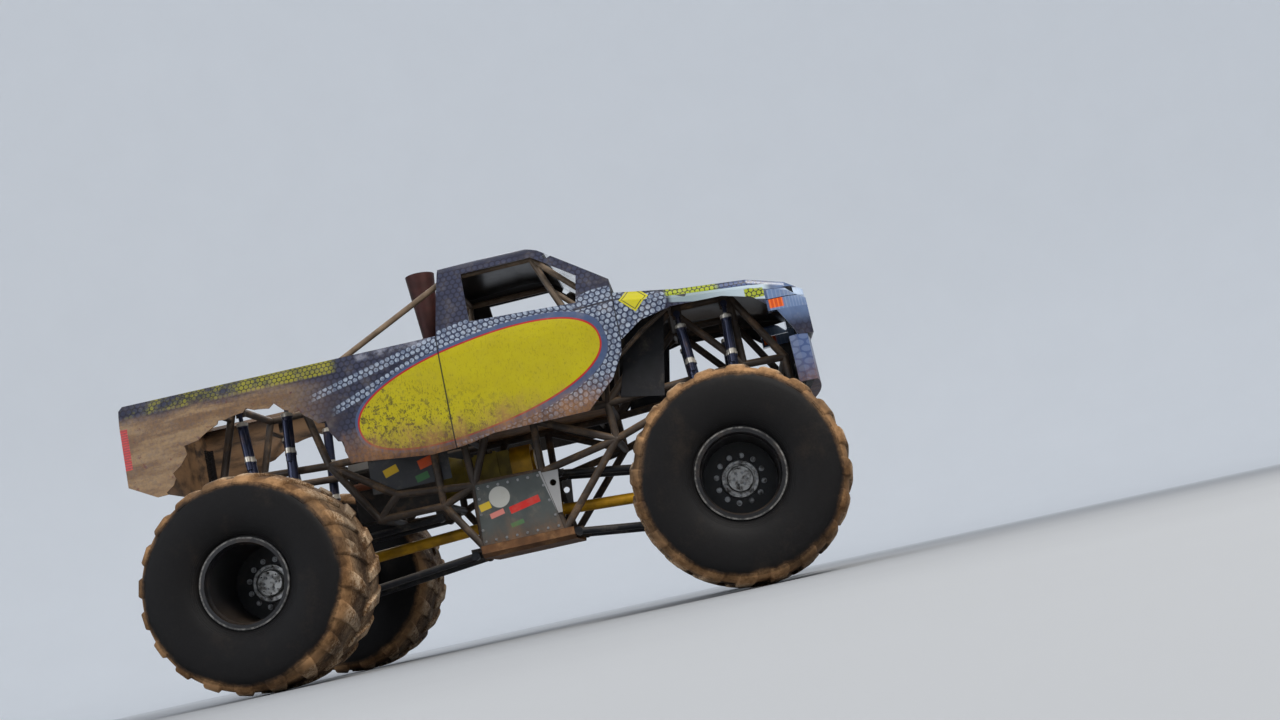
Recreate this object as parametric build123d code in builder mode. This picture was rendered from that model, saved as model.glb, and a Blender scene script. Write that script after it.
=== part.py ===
from build123d import *
from math import cos, radians, sin
import os

os.makedirs("parts", exist_ok=True)

# Monster truck in millimetres: X forward, Y to the left, Z up from the ground.
# The origin lies on the ground, midway between the tail and the front bumper.

# Stance
wheelbase = 3780
front_overhang = 870
rear_overhang = 1080
track_width = 2600
overall_length = front_overhang + wheelbase + rear_overhang
bumper_x = overall_length / 2
tail_x = -bumper_x
front_axle_x = bumper_x - front_overhang
rear_axle_x = front_axle_x - wheelbase
seat_gap = 0.3                      # rest gap between pieces that seat on each other

# Tyres and rims, outboard measured from the wheel's middle plane
tyre_diameter = 1676
tyre_width = 1092
bead_radius = 318
carcass = 38
tread_half = 350                    # half width of the flat crown
shoulder_half = 486
lug_count = 20                      # lugs of one row
lug_height = 26
lug_reach = 108                     # half of a lug's length round the tyre
lug_wide = 80
lug_start = 14                      # inner end of a lug, from the middle plane
lug_end = 494
axle_height = tyre_diameter / 2
rim_half = 457
rim_wall = 12
seat_width = 46                     # bead seat beside each lip
barrel_step = 13                    # how far the barrel steps in between the bead seats
lip_radius = 343
lip_wall = 14
disc_outboard = -200                # outer face of the rim's disc, deep inside the dish
disc_wall = 16
bead_half = rim_half - lip_wall - seat_gap

# Planetary hubs and knuckles
hub_radius = 150
hub_inner = -380                    # inboard end of the hub drum
hub_step = 70                       # how far the cover stands proud of the rim's disc
ring_step = 38                      # how far the outer ring stands proud of it
groove_outer = 120
groove_inner = 104
cover_radius = 96
stud_circle = 260
cover_circle = 160
cover_hole = 6
cover_holes = 8
spindle_radius = 90
bearing_gap = 0.05
kingpin_y = 720
kingpin_radius = 25
kingpin_gap = 0.05
ear_radius = 62
ear_low = 130
ear_high = 178
arm_length = 320
arm_inset = 30
arm_waist = 30                      # inboard edge of the arm beside the kingpin
arm_width = 70
arm_thick = 40
eye_thick = 38
rod_lift = 6                        # free height between the arm and the rod's eye
arm_drop = eye_thick / 2 + rod_lift # top of the arm below the axle's centre

# Axle housings
axle_tube = 95
axle_tube_end = 635
yoke_plate = 45
diff_radius = 225
pinion_reach = 340
pinion_radius = 85
pinion_lift = 80
truss_thick = 20
truss_height = 145
plate = 10
shock_y = 580
shock_foot = 120
shock_foot_z = axle_height + 165
link_y = 330
upper_link_y = 200
link_foot_x = 150
link_foot_z = axle_height - 233
upper_foot_x = 120
upper_foot_z = axle_height + 247

# Steering cylinder
barrel_radius = 50
barrel_half = 300
rod_radius = 16
eye_radius = 34

# Links and shock absorbers
link_radius = 29
link_eye = 36
link_eye_width = 64
shock_body = 42
shock_shaft = 18
shock_eye = 28
shock_eye_width = 40
bottle_radius = 26

# Tube frame
frame_tube = 32
cage_tube = 25
weld = 3                            # how far a weld collar stands proud of its tubes
frame_y = 500
low_y = 420
low_z = 790
rail_z = 1735
hoop_z = 2400
hoop_reach = 255                    # front hoop ahead of and behind the axle
tail_reach = 285
nose_inset = 245
shock_head = 200
engine_rear = rear_axle_x + 535
engine_front = -520
engine_half = 300
engine_bottom = 1230
engine_top = 1900
cradle_z = engine_bottom - frame_tube - seat_gap
brace_tube = 20

# Body shell
shell = 12
body_half = 970
belt_half = body_half - 40
roof_half = 700
sill_z = 1645
belt_z = 2530
roof_z = 3160
cab_rear_x = -170
cab_front_x = 1310
nose_x = bumper_x - 20
arch_radius = 770
arch_z = 1487


def tube(start, end, radius):
    """Straight round tube between two points, added to the open part."""
    run = Vector(*end) - Vector(*start)
    with Locations(Plane(origin=start, z_dir=run)):
        Cylinder(radius, run.length, align=(Align.CENTER, Align.CENTER, Align.MIN))


def collar(centre, radius):
    """Ball-shaped weld collar where tubes meet."""
    with Locations(centre):
        Sphere(radius)


def across(point):
    """The same point on the other side of the truck."""
    return (point[0], -point[1], point[2])


def block(low, high, mode=Mode.ADD):
    """Box between two corners."""
    size = [b - a for a, b in zip(low, high)]
    middle = tuple((a + b) / 2 for a, b in zip(low, high))
    with Locations(middle):
        Box(*size, mode=mode)


def side_face(points, y):
    """Flat outline in a side view plane, from (x, z) points."""
    with BuildSketch(Plane(origin=(0, y, 0), x_dir=(1, 0, 0), z_dir=(0, -1, 0))) as face:
        with BuildLine():
            Polyline(*points, close=True)
        make_face()
    return face.sketch


def wheel_face(x, side, outline):
    """Half section of a turned wheel piece, from (radius, outboard) points."""
    centre = (x, side * track_width / 2, axle_height)
    with BuildSketch(Plane(origin=centre, x_dir=(0, 0, 1), z_dir=(-side, 0, 0))) as face:
        with BuildLine():
            Polyline(*outline, close=True)
        make_face()
    return face.sketch


def wheel_axis(x, side):
    """The wheel's axle line."""
    return Axis((x, side * track_width / 2, axle_height), (0, 1, 0))


# The four corners: name, axle line, side (+1 left), steering arm direction
corners = [
    ("fl", front_axle_x, 1, 1),
    ("fr", front_axle_x, -1, 1),
    ("rl", rear_axle_x, 1, -1),
    ("rr", rear_axle_x, -1, -1),
]

# Tyre carcass in flats, one flat to each lug of a row: (radius to the flats, outboard)
crown = tyre_diameter / 2
pitch = 360 / lug_count
quarter = radians(pitch / 4)
# A lug's top is a flat whose leading corner reaches the ground when it stands lowest
lug_top = (crown - lug_reach * sin(quarter)) / cos(quarter)
carcass_top = lug_top - lug_height
shoulder_top = crown - 84
carcass_rings = [
    (carcass_top, 0),
    (carcass_top, tread_half),
    (shoulder_top, shoulder_half),
    (crown - 250, tyre_width / 2),
    (lip_radius + 12, bead_half),
]
air_rings = [
    (carcass_top - carcass, 0),
    (carcass_top - carcass, tread_half - 20),
    (crown - 250, tyre_width / 2 - carcass),
    (bead_radius, bead_half - carcass),
    (bead_radius, bead_half + 1),
]


def ring_face(radius, outboard):
    """Regular ring of flats square to the wheel's axle, one flat at the foot."""
    with BuildSketch(Plane(origin=(0, outboard, 0), x_dir=(1, 0, 0), z_dir=(0, 1, 0))) as face:
        RegularPolygon(radius, lug_count, major_radius=False, rotation=pitch / 2)
    return face.sketch


with BuildPart() as lug:
    with BuildSketch(Plane.XY.offset(-crown)):
        with BuildLine():
            Polyline(
                (-lug_reach, lug_start),
                (lug_wide - lug_reach, lug_start),
                (lug_reach, lug_end),
                (lug_reach - lug_wide, lug_end),
                close=True,
            )
        make_face()
    extrude(amount=150)
    with BuildSketch(Plane.YZ):
        with BuildLine():
            Polyline(
                (lug_start, -lug_top),
                (tread_half + 10, -lug_top),
                (lug_end, -shoulder_top - lug_height * 0.7),
                (lug_end, -shoulder_top + 40),
                (lug_start, -shoulder_top + 10),
                close=True,
            )
        make_face()
    extrude(amount=2 * lug_reach, both=True, mode=Mode.INTERSECT)

with BuildPart() as half_tyre:
    loft([ring_face(*ring) for ring in carcass_rings], ruled=True)
    add([lug.part.rotate(Axis.Y, index * pitch) for index in range(lug_count)])
    loft([ring_face(*ring) for ring in air_rings], ruled=True, mode=Mode.SUBTRACT)

# The two rows of lugs stand half a pitch apart
with BuildPart() as tyre_blank:
    add(half_tyre.part.rotate(Axis.Y, pitch / 4))
    add(half_tyre.part.mirror(Plane.XZ).rotate(Axis.Y, -pitch / 4))

for name, x, side, lead in corners:
    with BuildPart() as tyre:
        add(tyre_blank.part.moved(Location((x, side * track_width / 2, axle_height))))
    tyre.part.label = f"tyre_{name}"
    export_step(tyre.part, f"parts/tyre_{name}.step")

    # Rim: bead seats beside the lips, and a barrel stepped in between them
    seat_outer = bead_radius - seat_gap
    seat_inner = seat_outer - rim_wall
    seat_end = rim_half - lip_wall - seat_width
    half_rim = [
        (seat_outer - barrel_step, seat_end - 20),
        (seat_outer, seat_end),
        (seat_outer, rim_half - lip_wall),
        (lip_radius, rim_half - lip_wall),
        (lip_radius, rim_half),
        (seat_inner, rim_half),
        (seat_inner, seat_end + 4),
        (seat_inner - barrel_step, seat_end - 16),
    ]
    rim_section = [(r, -w) for r, w in reversed(half_rim)] + half_rim + [
        (seat_inner - barrel_step, disc_outboard),
        (hub_radius, disc_outboard),
        (hub_radius, disc_outboard - disc_wall),
        (seat_inner - barrel_step, disc_outboard - disc_wall),
    ]
    with BuildPart() as rim:
        revolve(wheel_face(x, side, rim_section), wheel_axis(x, side))
    rim.part.label = f"rim_{name}"
    export_step(rim.part, f"parts/rim_{name}.step")

    bore = spindle_radius + bearing_gap
    bore_end = -track_width / 2 + 1005
    flange_outer = stud_circle / 2 + 60
    hub_section = [
        (bore, hub_inner),
        (hub_radius - 6, hub_inner),
        (hub_radius - 6, disc_outboard - disc_wall - 22),
        (flange_outer, disc_outboard - disc_wall - 22),
        (flange_outer, disc_outboard - disc_wall),
        (hub_radius - seat_gap, disc_outboard - disc_wall),
        (hub_radius - seat_gap, disc_outboard + ring_step - 8),
        (hub_radius - 8, disc_outboard + ring_step),
        (groove_outer, disc_outboard + ring_step),
        (groove_outer - 2, disc_outboard + 10),
        (groove_inner + 2, disc_outboard + 10),
        (groove_inner, disc_outboard + hub_step - 8),
        (cover_radius, disc_outboard + hub_step),
        (0, disc_outboard + hub_step),
        (0, bore_end),
        (bore, bore_end),
    ]
    face_plane = Plane(
        origin=(x, side * (track_width / 2 + disc_outboard + hub_step), axle_height),
        x_dir=(1, 0, 0),
        z_dir=(0, side, 0),
    )
    with BuildPart() as hub:
        revolve(wheel_face(x, side, hub_section), wheel_axis(x, side))
        with Locations(face_plane):
            with PolarLocations(cover_circle / 2, cover_holes):
                Hole(cover_hole, depth=30)
    hub.part.label = f"hub_{name}"
    export_step(hub.part, f"parts/hub_{name}.step")

    # Knuckle: kingpin trunnion, spindle and steering arm
    pin_top = axle_height + ear_high + 20
    pin_foot = axle_height - ear_high - 20
    arm_top = axle_height - arm_drop
    arm_tip = (x + lead * arm_length, side * (kingpin_y - arm_inset))
    with BuildPart() as knuckle:
        tube((x, side * kingpin_y, pin_foot), (x, side * kingpin_y, pin_top), kingpin_radius)
        tube(
            (x, side * kingpin_y, axle_height - ear_low + 5),
            (x, side * kingpin_y, axle_height + ear_low - 5),
            ear_radius,
        )
        tube((x, side * kingpin_y, axle_height), (x, side * 900, axle_height), 112)
        tube((x, side * 850, axle_height), (x, side * 915, axle_height), 140)
        tube((x, side * 900, axle_height), (x, side * 1000, axle_height), spindle_radius)
        with BuildSketch(Plane.XY.offset(arm_top - arm_thick)):
            with BuildLine():
                Polyline(
                    (x, side * (kingpin_y - arm_waist)),
                    (x + lead * arm_length / 2, side * (kingpin_y - arm_waist)),
                    (arm_tip[0], arm_tip[1] - side * arm_width / 2),
                    (arm_tip[0], arm_tip[1] + side * arm_width / 2),
                    (x + lead * 60, side * (kingpin_y + 25)),
                    (x, side * (kingpin_y + 45)),
                    close=True,
                )
            make_face()
        extrude(amount=arm_thick)
        tube(
            (*arm_tip, arm_top - arm_thick),
            (*arm_tip, arm_top),
            arm_width / 2,
        )
    knuckle.part.label = f"knuckle_{name}"
    export_step(knuckle.part, f"parts/knuckle_{name}.step")

# Axles: name, axle line, direction from the axle towards the middle of the truck
axles = [("front", front_axle_x, -1), ("rear", rear_axle_x, 1)]

for name, x, inward in axles:
    lead = -inward
    ram_x = x + lead * arm_length
    diff_section = [(0, 150), (0, -150), (diff_radius - 60, -130), (diff_radius, -60)]
    diff_section += [(diff_radius, 60), (diff_radius - 60, 130)]
    with BuildPart() as axle:
        tube((x, 0, axle_height), (x, axle_tube_end, axle_height), axle_tube)
        # C-shaped yoke with the two ears that hold the kingpin
        block(
            (x - 60, axle_tube_end - yoke_plate, axle_height - ear_high),
            (x + 60, axle_tube_end, axle_height + ear_high),
        )
        for ear_z in (axle_height + ear_low, axle_height - ear_high):
            tube((x, kingpin_y, ear_z), (x, kingpin_y, ear_z + ear_high - ear_low), ear_radius)
            block(
                (x - 55, axle_tube_end - yoke_plate, ear_z),
                (x + 55, kingpin_y, ear_z + ear_high - ear_low),
            )
        # Foot plates of the shock absorbers, lower links and upper links
        block(
            (x - shock_foot - 40, shock_y - plate, axle_height),
            (x + shock_foot + 40, shock_y, shock_foot_z + 40),
        )
        foot = x + inward * link_foot_x
        block(
            (min(foot, x) - 40, link_y - link_eye_width / 2 - plate, link_foot_z - 40),
            (max(foot, x) + 40, link_y - link_eye_width / 2, axle_height),
        )
        foot = x + inward * upper_foot_x
        block(
            (min(foot, x) - 40, upper_link_y - link_eye_width / 2 - plate, axle_height),
            (max(foot, x) + 40, upper_link_y - link_eye_width / 2, upper_foot_z + 40),
        )
        # Truss plate along the top of the tube, between the two foot plates
        block(
            (x - truss_thick / 2, upper_link_y - link_eye_width / 2 - plate, axle_height),
            (x + truss_thick / 2, shock_y - plate, axle_height + truss_height),
        )
        # Arm that holds the steering cylinder
        block(
            (min(ram_x, x), 210, axle_height - 35),
            (max(ram_x, x), 240, axle_height + 35),
        )
        mirror(about=Plane.XZ)
        with BuildSketch(Plane(origin=(x, 0, axle_height), x_dir=(0, 0, 1), z_dir=(-1, 0, 0))):
            with BuildLine():
                Polyline(*diff_section, close=True)
            make_face()
        revolve(axis=Axis((x, 0, axle_height), (0, 1, 0)))
        tube((x, -20, axle_height), (x, 20, axle_height), diff_radius + 18)
        tube(
            (x, 0, axle_height + pinion_lift),
            (x + inward * pinion_reach, 0, axle_height + pinion_lift),
            pinion_radius,
        )
        with Locations(Plane(origin=(ram_x, 0, axle_height), z_dir=(0, 1, 0))):
            Cylinder(barrel_radius, 2 * barrel_half, mode=Mode.SUBTRACT)
        for side in (1, -1):
            with Locations(Plane(origin=(x, side * kingpin_y, axle_height), z_dir=(0, 0, 1))):
                Cylinder(kingpin_radius + kingpin_gap, 2 * ear_high + 2, mode=Mode.SUBTRACT)
    axle.part.label = f"{name}_axle"
    export_step(axle.part, f"parts/{name}_axle.step")

    with BuildPart() as rod:
        eye_z = axle_height
        pin_y = kingpin_y - arm_inset
        tube((ram_x, -pin_y, eye_z), (ram_x, pin_y, eye_z), rod_radius)
        for side in (1, -1):
            tube(
                (ram_x, side * pin_y, eye_z - eye_thick / 2),
                (ram_x, side * pin_y, eye_z + eye_thick / 2),
                eye_radius,
            )
    rod.part.label = f"steering_rod_{name}"
    export_step(rod.part, f"parts/steering_rod_{name}.step")

# Steering cylinder barrels, one on each axle, bored through for their rods
with BuildPart() as barrels:
    for name, x, inward in axles:
        ram_x = x - inward * arm_length
        tube((ram_x, -barrel_half, axle_height), (ram_x, barrel_half, axle_height), barrel_radius)
        with Locations(Plane(origin=(ram_x, 0, axle_height), z_dir=(0, 1, 0))):
            Cylinder(rod_radius + bearing_gap, 2 * barrel_half + 2, mode=Mode.SUBTRACT)
barrels.part.label = "steering_barrels"
export_step(barrels.part, "parts/steering_barrels.step")

# Frame joints on the left side: name to (x, y, z)
nodes = {
    "low_rear": (-190, low_y, low_z),
    "low_front": (500, low_y, low_z),
    "mid_rear": (-170, 460, 1310),
    "mid_front": (410, 460, 1300),
    "top_rear": (-190, frame_y, rail_z),
    "top_mid": (20, frame_y, rail_z),
    "top_front": (420, frame_y, rail_z),
    "top_fore": (1065, frame_y, rail_z),
    "fore": (1080, 480, 1430),
    "cradle_front": (-450, 465, cradle_z),
    "cradle_rear": (-1000, 465, cradle_z),
    "top_aft": (-450, frame_y, rail_z),
    "hang_aft": (-820, 480, 1374),
    "rail_aft": (rear_axle_x + 449, frame_y, rail_z),
    "nose_low": (front_axle_x + hoop_reach, frame_y, 1805),
    "nose": (nose_x - nose_inset, frame_y, 1795),
    "nose_foot": (nose_x - nose_inset, frame_y, 1600),
    "hoop_back": (front_axle_x - hoop_reach, frame_y, hoop_z),
    "hoop_top": (front_axle_x + hoop_reach, frame_y, hoop_z),
    "tail_hoop_front": (rear_axle_x + tail_reach, frame_y, hoop_z),
    "tail_hoop_rear": (rear_axle_x - tail_reach, frame_y, hoop_z),
    "tail_rail": (rear_axle_x - tail_reach - 180, frame_y, 1790),
}

# Tubes of one side, between named joints
side_tubes = [
    ("low_rear", "low_front"),
    ("mid_rear", "mid_front"),
    ("rail_aft", "top_fore"),
    ("low_rear", "mid_rear"),
    ("mid_rear", "top_rear"),
    ("mid_rear", "top_mid"),
    ("low_front", "mid_front"),
    ("mid_front", "top_front"),
    ("low_front", "fore"),
    ("mid_front", "fore"),
    ("top_front", "fore"),
    ("fore", "top_fore"),
    ("cradle_front", "low_rear"),
    ("cradle_front", "top_aft"),
    ("cradle_front", "cradle_rear"),
    ("cradle_front", "mid_rear"),
    ("cradle_rear", "hang_aft"),
    ("hang_aft", "mid_rear"),
    ("hang_aft", "rail_aft"),
    ("cradle_rear", "rail_aft"),
    ("fore", "nose_low"),
    ("top_fore", "nose_low"),
    ("top_fore", "hoop_back"),
    ("hoop_back", "hoop_top"),
    ("hoop_back", "nose_low"),
    ("hoop_top", "nose_low"),
    ("hoop_top", "nose"),
    ("nose_low", "nose"),
    ("nose", "nose_foot"),
    ("rail_aft", "tail_rail"),
    ("rail_aft", "tail_hoop_front"),
    ("tail_hoop_front", "tail_hoop_rear"),
    ("tail_hoop_rear", "tail_rail"),
]

# Joints that a cross tube ties to the other side
cross_joints = [
    "low_rear", "low_front", "mid_front", "top_rear", "top_fore", "fore", "cradle_front",
    "cradle_rear", "rail_aft", "nose_low", "nose", "hoop_back", "hoop_top",
    "tail_hoop_front", "tail_hoop_rear", "tail_rail",
]

front_split = 1200
rear_split = -600
fender_brace_y = 800

# Eyes of the suspension links at the frame: (x, z)
frame_feet = {"front": (600, 760), "rear": (-290, 740)}
upper_feet = {"front": (520, 1285), "rear": (-550, 1125)}

with BuildPart() as frame:
    for joint in nodes:
        collar(nodes[joint], frame_tube + weld)
    for start, end in side_tubes:
        tube(nodes[start], nodes[end], frame_tube)
    # Head plates of the shock absorbers
    for name, x, inward in axles:
        for offset in (-shock_head, shock_head):
            block(
                (x + offset - 40, shock_y - plate, hoop_z - 110),
                (x + offset + 40, shock_y, hoop_z),
            )
            block(
                (x + offset - 40, frame_y, hoop_z - plate),
                (x + offset + 40, shock_y, hoop_z),
            )
    # Link brackets, from a cross tube out past the link's eye
    brackets = [
        (link_y, nodes["low_front"][0], frame_feet["front"], low_z + 10),
        (link_y, nodes["low_rear"][0], frame_feet["rear"], low_z + 10),
        (upper_link_y, nodes["mid_front"][0], upper_feet["front"], 1320),
        (upper_link_y, nodes["cradle_front"][0] + 10, upper_feet["rear"], cradle_z),
    ]
    for eye_y, tube_x, (eye_x, eye_z), bracket_top in brackets:
        tab_y = eye_y - link_eye_width / 2
        reach_x = eye_x + (40 if eye_x > tube_x else -40)
        block(
            (min(tube_x, reach_x), tab_y - plate, eye_z - 24),
            (max(tube_x, reach_x), tab_y, bracket_top),
        )
    # Outriggers that carry the body shell
    tail_leg_x, _, _ = nodes["tail_hoop_rear"]
    hoop_back_x, _, _ = nodes["hoop_back"]
    outriggers = [
        (-900, rail_z),
        (-190, rail_z),
        (900, rail_z),
        (tail_leg_x - 30, hoop_z - 100),
        (hoop_back_x, hoop_z - 30),
    ]
    for x, z in outriggers:
        tube((x, frame_y, z), (x, body_half - shell, z), brace_tube)
    # Bent tube that braces the fender from inside
    fender_line = [
        nodes["top_fore"],
        (cab_front_x - 185, fender_brace_y, 1954),
        (cab_front_x + 165, fender_brace_y, 2214),
        (hoop_back_x, fender_brace_y, hoop_z - 30),
    ]
    for bend in fender_line[1:]:
        collar(bend, brace_tube + weld)
    for start, end in zip(fender_line, fender_line[1:]):
        tube(start, end, brace_tube)
    mirror(about=Plane.XZ)
    for joint in cross_joints:
        tube(nodes[joint], across(nodes[joint]), frame_tube)

with BuildPart() as frame_front:
    add(frame.part)
    split(bisect_by=Plane.YZ.offset(front_split), keep=Keep.TOP)
frame_front.part.label = "frame_front"
export_step(frame_front.part, "parts/frame_front.step")

with BuildPart() as frame_main:
    add(frame.part)
    split(bisect_by=Plane.YZ.offset(front_split), keep=Keep.BOTTOM)
    split(bisect_by=Plane.YZ.offset(rear_split), keep=Keep.TOP)
frame_main.part.label = "frame_main"
export_step(frame_main.part, "parts/frame_main.step")

with BuildPart() as frame_rear:
    add(frame.part)
    split(bisect_by=Plane.YZ.offset(rear_split), keep=Keep.BOTTOM)
frame_rear.part.label = "frame_rear"
export_step(frame_rear.part, "parts/frame_rear.step")

# Safety cage joints on the left side
cage_nodes = {
    "rear_top": (-60, 600, 3060),
    "roof_front": (690, 600, 3070),
    "dash": (1220, 640, 2540),
    "belt_rear": (-125, 552, 2440),
    "belt_front": (960, 620, 2400),
}
cage_tubes = [
    (nodes["top_rear"], cage_nodes["rear_top"]),
    (cage_nodes["rear_top"], cage_nodes["roof_front"]),
    (cage_nodes["roof_front"], cage_nodes["dash"]),
    (cage_nodes["dash"], nodes["top_fore"]),
    (cage_nodes["roof_front"], cage_nodes["belt_front"]),
    (cage_nodes["belt_front"], nodes["top_fore"]),
    (cage_nodes["belt_rear"], cage_nodes["belt_front"]),
    (cage_nodes["rear_top"], nodes["tail_hoop_front"]),
]
with BuildPart() as roll_cage:
    for joint in cage_nodes:
        collar(cage_nodes[joint], cage_tube + weld)
    for start, end in cage_tubes:
        tube(start, end, cage_tube)
    mirror(about=Plane.XZ)
    for joint in ("rear_top", "roof_front", "dash", "belt_rear", "belt_front"):
        tube(cage_nodes[joint], across(cage_nodes[joint]), cage_tube)
    add(frame.part, mode=Mode.SUBTRACT)
roll_cage.part.label = "roll_cage"
export_step(roll_cage.part, "parts/roll_cage.step")

# Sheets bolted to the outside of the frame behind the front tyres
sheet_y = frame_y + frame_tube + seat_gap
with BuildPart() as inner_fenders:
    sheet_outline = [
        (cab_front_x - 120, 1761), (cab_front_x + 39, 2325),
        (cab_front_x + 405, 2498), (cab_front_x + 239, 1693),
    ]
    extrude(side_face(sheet_outline, sheet_y + 6), amount=6)
    mirror(about=Plane.XZ)
inner_fenders.part.label = "inner_fenders"
export_step(inner_fenders.part, "parts/inner_fenders.step")

# Suspension links and shock absorbers


def link(start, end):
    """Round bar with an eye across each end."""
    tube(start, end, link_radius)
    for x, y, z in (start, end):
        tube((x, y - link_eye_width / 2, z), (x, y + link_eye_width / 2, z), link_eye)


with BuildPart() as links:
    for name, x, inward in axles:
        chassis_x, chassis_z = frame_feet[name]
        link((chassis_x, link_y, chassis_z), (x + inward * link_foot_x, link_y, link_foot_z))
        chassis_x, chassis_z = upper_feet[name]
        link(
            (chassis_x, upper_link_y, chassis_z),
            (x + inward * upper_foot_x, upper_link_y, upper_foot_z),
        )
    mirror(about=Plane.XZ)
links.part.label = "suspension_links"
export_step(links.part, "parts/suspension_links.step")

with BuildPart() as shocks:
    for name, x, inward in axles:
        for way in (-1, 1):
            eye_y = shock_y + shock_eye_width / 2
            foot = Vector(x + way * shock_foot, eye_y, shock_foot_z)
            head = Vector(x + way * shock_head, eye_y, hoop_z - 70)
            run = head - foot
            tube(tuple(foot), tuple(head), shock_shaft)
            tube(tuple(foot + run * 0.42), tuple(foot + run * 0.93), shock_body)
            for cap in (0.42, 0.66, 0.90):
                tube(tuple(foot + run * cap), tuple(foot + run * (cap + 0.025)), shock_body + 6)
            # Gas bottle beside the upper body
            aside = Vector(0, shock_body + bottle_radius - 6, 0)
            tube(
                tuple(foot + run * 0.62 + aside),
                tuple(foot + run * 0.88 + aside),
                bottle_radius,
            )
            for eye in (foot, head):
                tube(
                    (eye.X, shock_y, eye.Z),
                    (eye.X, shock_y + shock_eye_width, eye.Z),
                    shock_eye,
                )
    mirror(about=Plane.XZ)
shocks.part.label = "shock_absorbers"
export_step(shocks.part, "parts/shock_absorbers.step")

# Engine: closed V-shaped block with a flat deck, rocker covers and exhaust manifolds
engine_length = engine_front - engine_rear
engine_middle = (engine_front + engine_rear) / 2
sump_half = 150
deck_half = 170
bank_foot = (engine_half, engine_bottom + 410)
bank_head = (engine_half - 78, engine_bottom + 530)
engine_half_section = [
    (sump_half, engine_bottom), (sump_half + 15, engine_bottom + 110),
    (sump_half + 60, engine_bottom + 240), bank_foot, bank_head,
    (deck_half, engine_bottom + 480), (deck_half, engine_top),
]
cover_rise = 24
port_y = engine_half - 45
port_z = engine_bottom + 330
manifold_y = engine_half + 35
manifold_z = engine_bottom + 290
ports = 4
pulleys = [(engine_bottom + 110, 88), (engine_bottom + 400, 55), (engine_top - 110, 62)]
with BuildPart() as engine:
    with BuildSketch(Plane.YZ.offset(engine_rear)):
        with BuildLine():
            Polyline(
                *engine_half_section,
                *[(-y, z) for y, z in reversed(engine_half_section)],
                close=True,
            )
        make_face()
    extrude(amount=engine_length)
    bank_slope = (0, bank_head[1] - bank_foot[1], bank_foot[0] - bank_head[0])
    with BuildSketch(
        Plane(
            origin=(
                engine_middle,
                (bank_foot[0] + bank_head[0]) / 2,
                (bank_foot[1] + bank_head[1]) / 2,
            ),
            x_dir=(1, 0, 0),
            z_dir=bank_slope,
        )
    ):
        RectangleRounded(engine_length - 60, 112, 20)
    extrude(amount=cover_rise)
    for index in range(ports):
        port_x = engine_rear + engine_length * (index + 0.5) / ports
        tube((port_x, port_y, port_z), (port_x, manifold_y, manifold_z), 24)
    tube(
        (engine_rear + 50, manifold_y, manifold_z),
        (engine_front - 50, manifold_y, manifold_z),
        34,
    )
    mirror(about=Plane.XZ)
    for pulley_z, radius in pulleys:
        tube((engine_rear - 28, 0, pulley_z), (engine_rear, 0, pulley_z), radius)
engine.part.label = "engine_block"
export_step(engine.part, "parts/engine_block.step")

gear_axis_z = engine_bottom + 230
gear_half = 128
bell_length = 230
drop_x = 120
drop_thick = 180
with BuildPart() as gearbox:
    with BuildSketch(Plane.YZ.offset(engine_front)):
        with Locations((0, gear_axis_z)):
            Circle(225)
    with BuildSketch(Plane.YZ.offset(engine_front + bell_length)):
        with Locations((0, gear_axis_z)):
            Circle(140)
    loft()
    block(
        (engine_front + bell_length, -gear_half, gear_axis_z - gear_half),
        (drop_x, gear_half, gear_axis_z + gear_half),
    )
    for share in (0.3, 0.7):
        rib_x = engine_front + bell_length + share * (drop_x - engine_front - bell_length)
        block(
            (rib_x - 15, -gear_half - 12, gear_axis_z - gear_half - 12),
            (rib_x + 15, gear_half + 12, gear_axis_z + gear_half + 12),
        )
gearbox.part.label = "gearbox"
export_step(gearbox.part, "parts/gearbox.step")

# Drop box: two round gear housings joined by flat sides, one above the other
output_z = 1000
output_reach = 60
drop_top = 150
drop_foot = 118
with BuildPart() as transfer_case:
    with BuildSketch(Plane.YZ.offset(drop_x)):
        with Locations((0, gear_axis_z)):
            Circle(drop_top)
        with Locations((0, output_z)):
            Circle(drop_foot)
        with BuildLine():
            Polyline(
                (-drop_top, gear_axis_z),
                (drop_top, gear_axis_z),
                (drop_foot, output_z),
                (-drop_foot, output_z),
                close=True,
            )
        make_face()
    extrude(amount=drop_thick)
    tube(
        (drop_x - output_reach, 0, output_z),
        (drop_x + drop_thick + output_reach, 0, output_z),
        75,
    )
    tube((drop_x + drop_thick, 0, gear_axis_z), (drop_x + drop_thick + 22, 0, gear_axis_z), 95)
transfer_case.part.label = "transfer_case"
export_step(transfer_case.part, "parts/transfer_case.step")

# Driveshafts with a joint yoke near each end, cut square at the pinions and outputs
shaft_radius = 48
yoke_radius = 64
pinion_z = axle_height + pinion_lift
shaft_ends = [
    (rear_axle_x + pinion_reach, drop_x - output_reach),
    (drop_x + drop_thick + output_reach, front_axle_x - pinion_reach),
]
with BuildPart() as driveshafts:
    for (low_x, high_x), (low_end, high_end) in zip(
        shaft_ends, [(pinion_z, output_z), (output_z, pinion_z)]
    ):
        start = Vector(low_x - 60, 0, low_end)
        run = Vector(high_x + 60, 0, high_end) - start
        tube(tuple(start), tuple(start + run), shaft_radius)
        for share in (0.09, 0.87):
            tube(tuple(start + run * share), tuple(start + run * (share + 0.04)), yoke_radius)
        block((low_x - 200, -90, 700), (low_x, 90, 1200), mode=Mode.SUBTRACT)
        block((high_x, -90, 700), (high_x + 100, 90, 1200), mode=Mode.SUBTRACT)
driveshafts.part.label = "driveshafts"
export_step(driveshafts.part, "parts/driveshafts.step")

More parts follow.
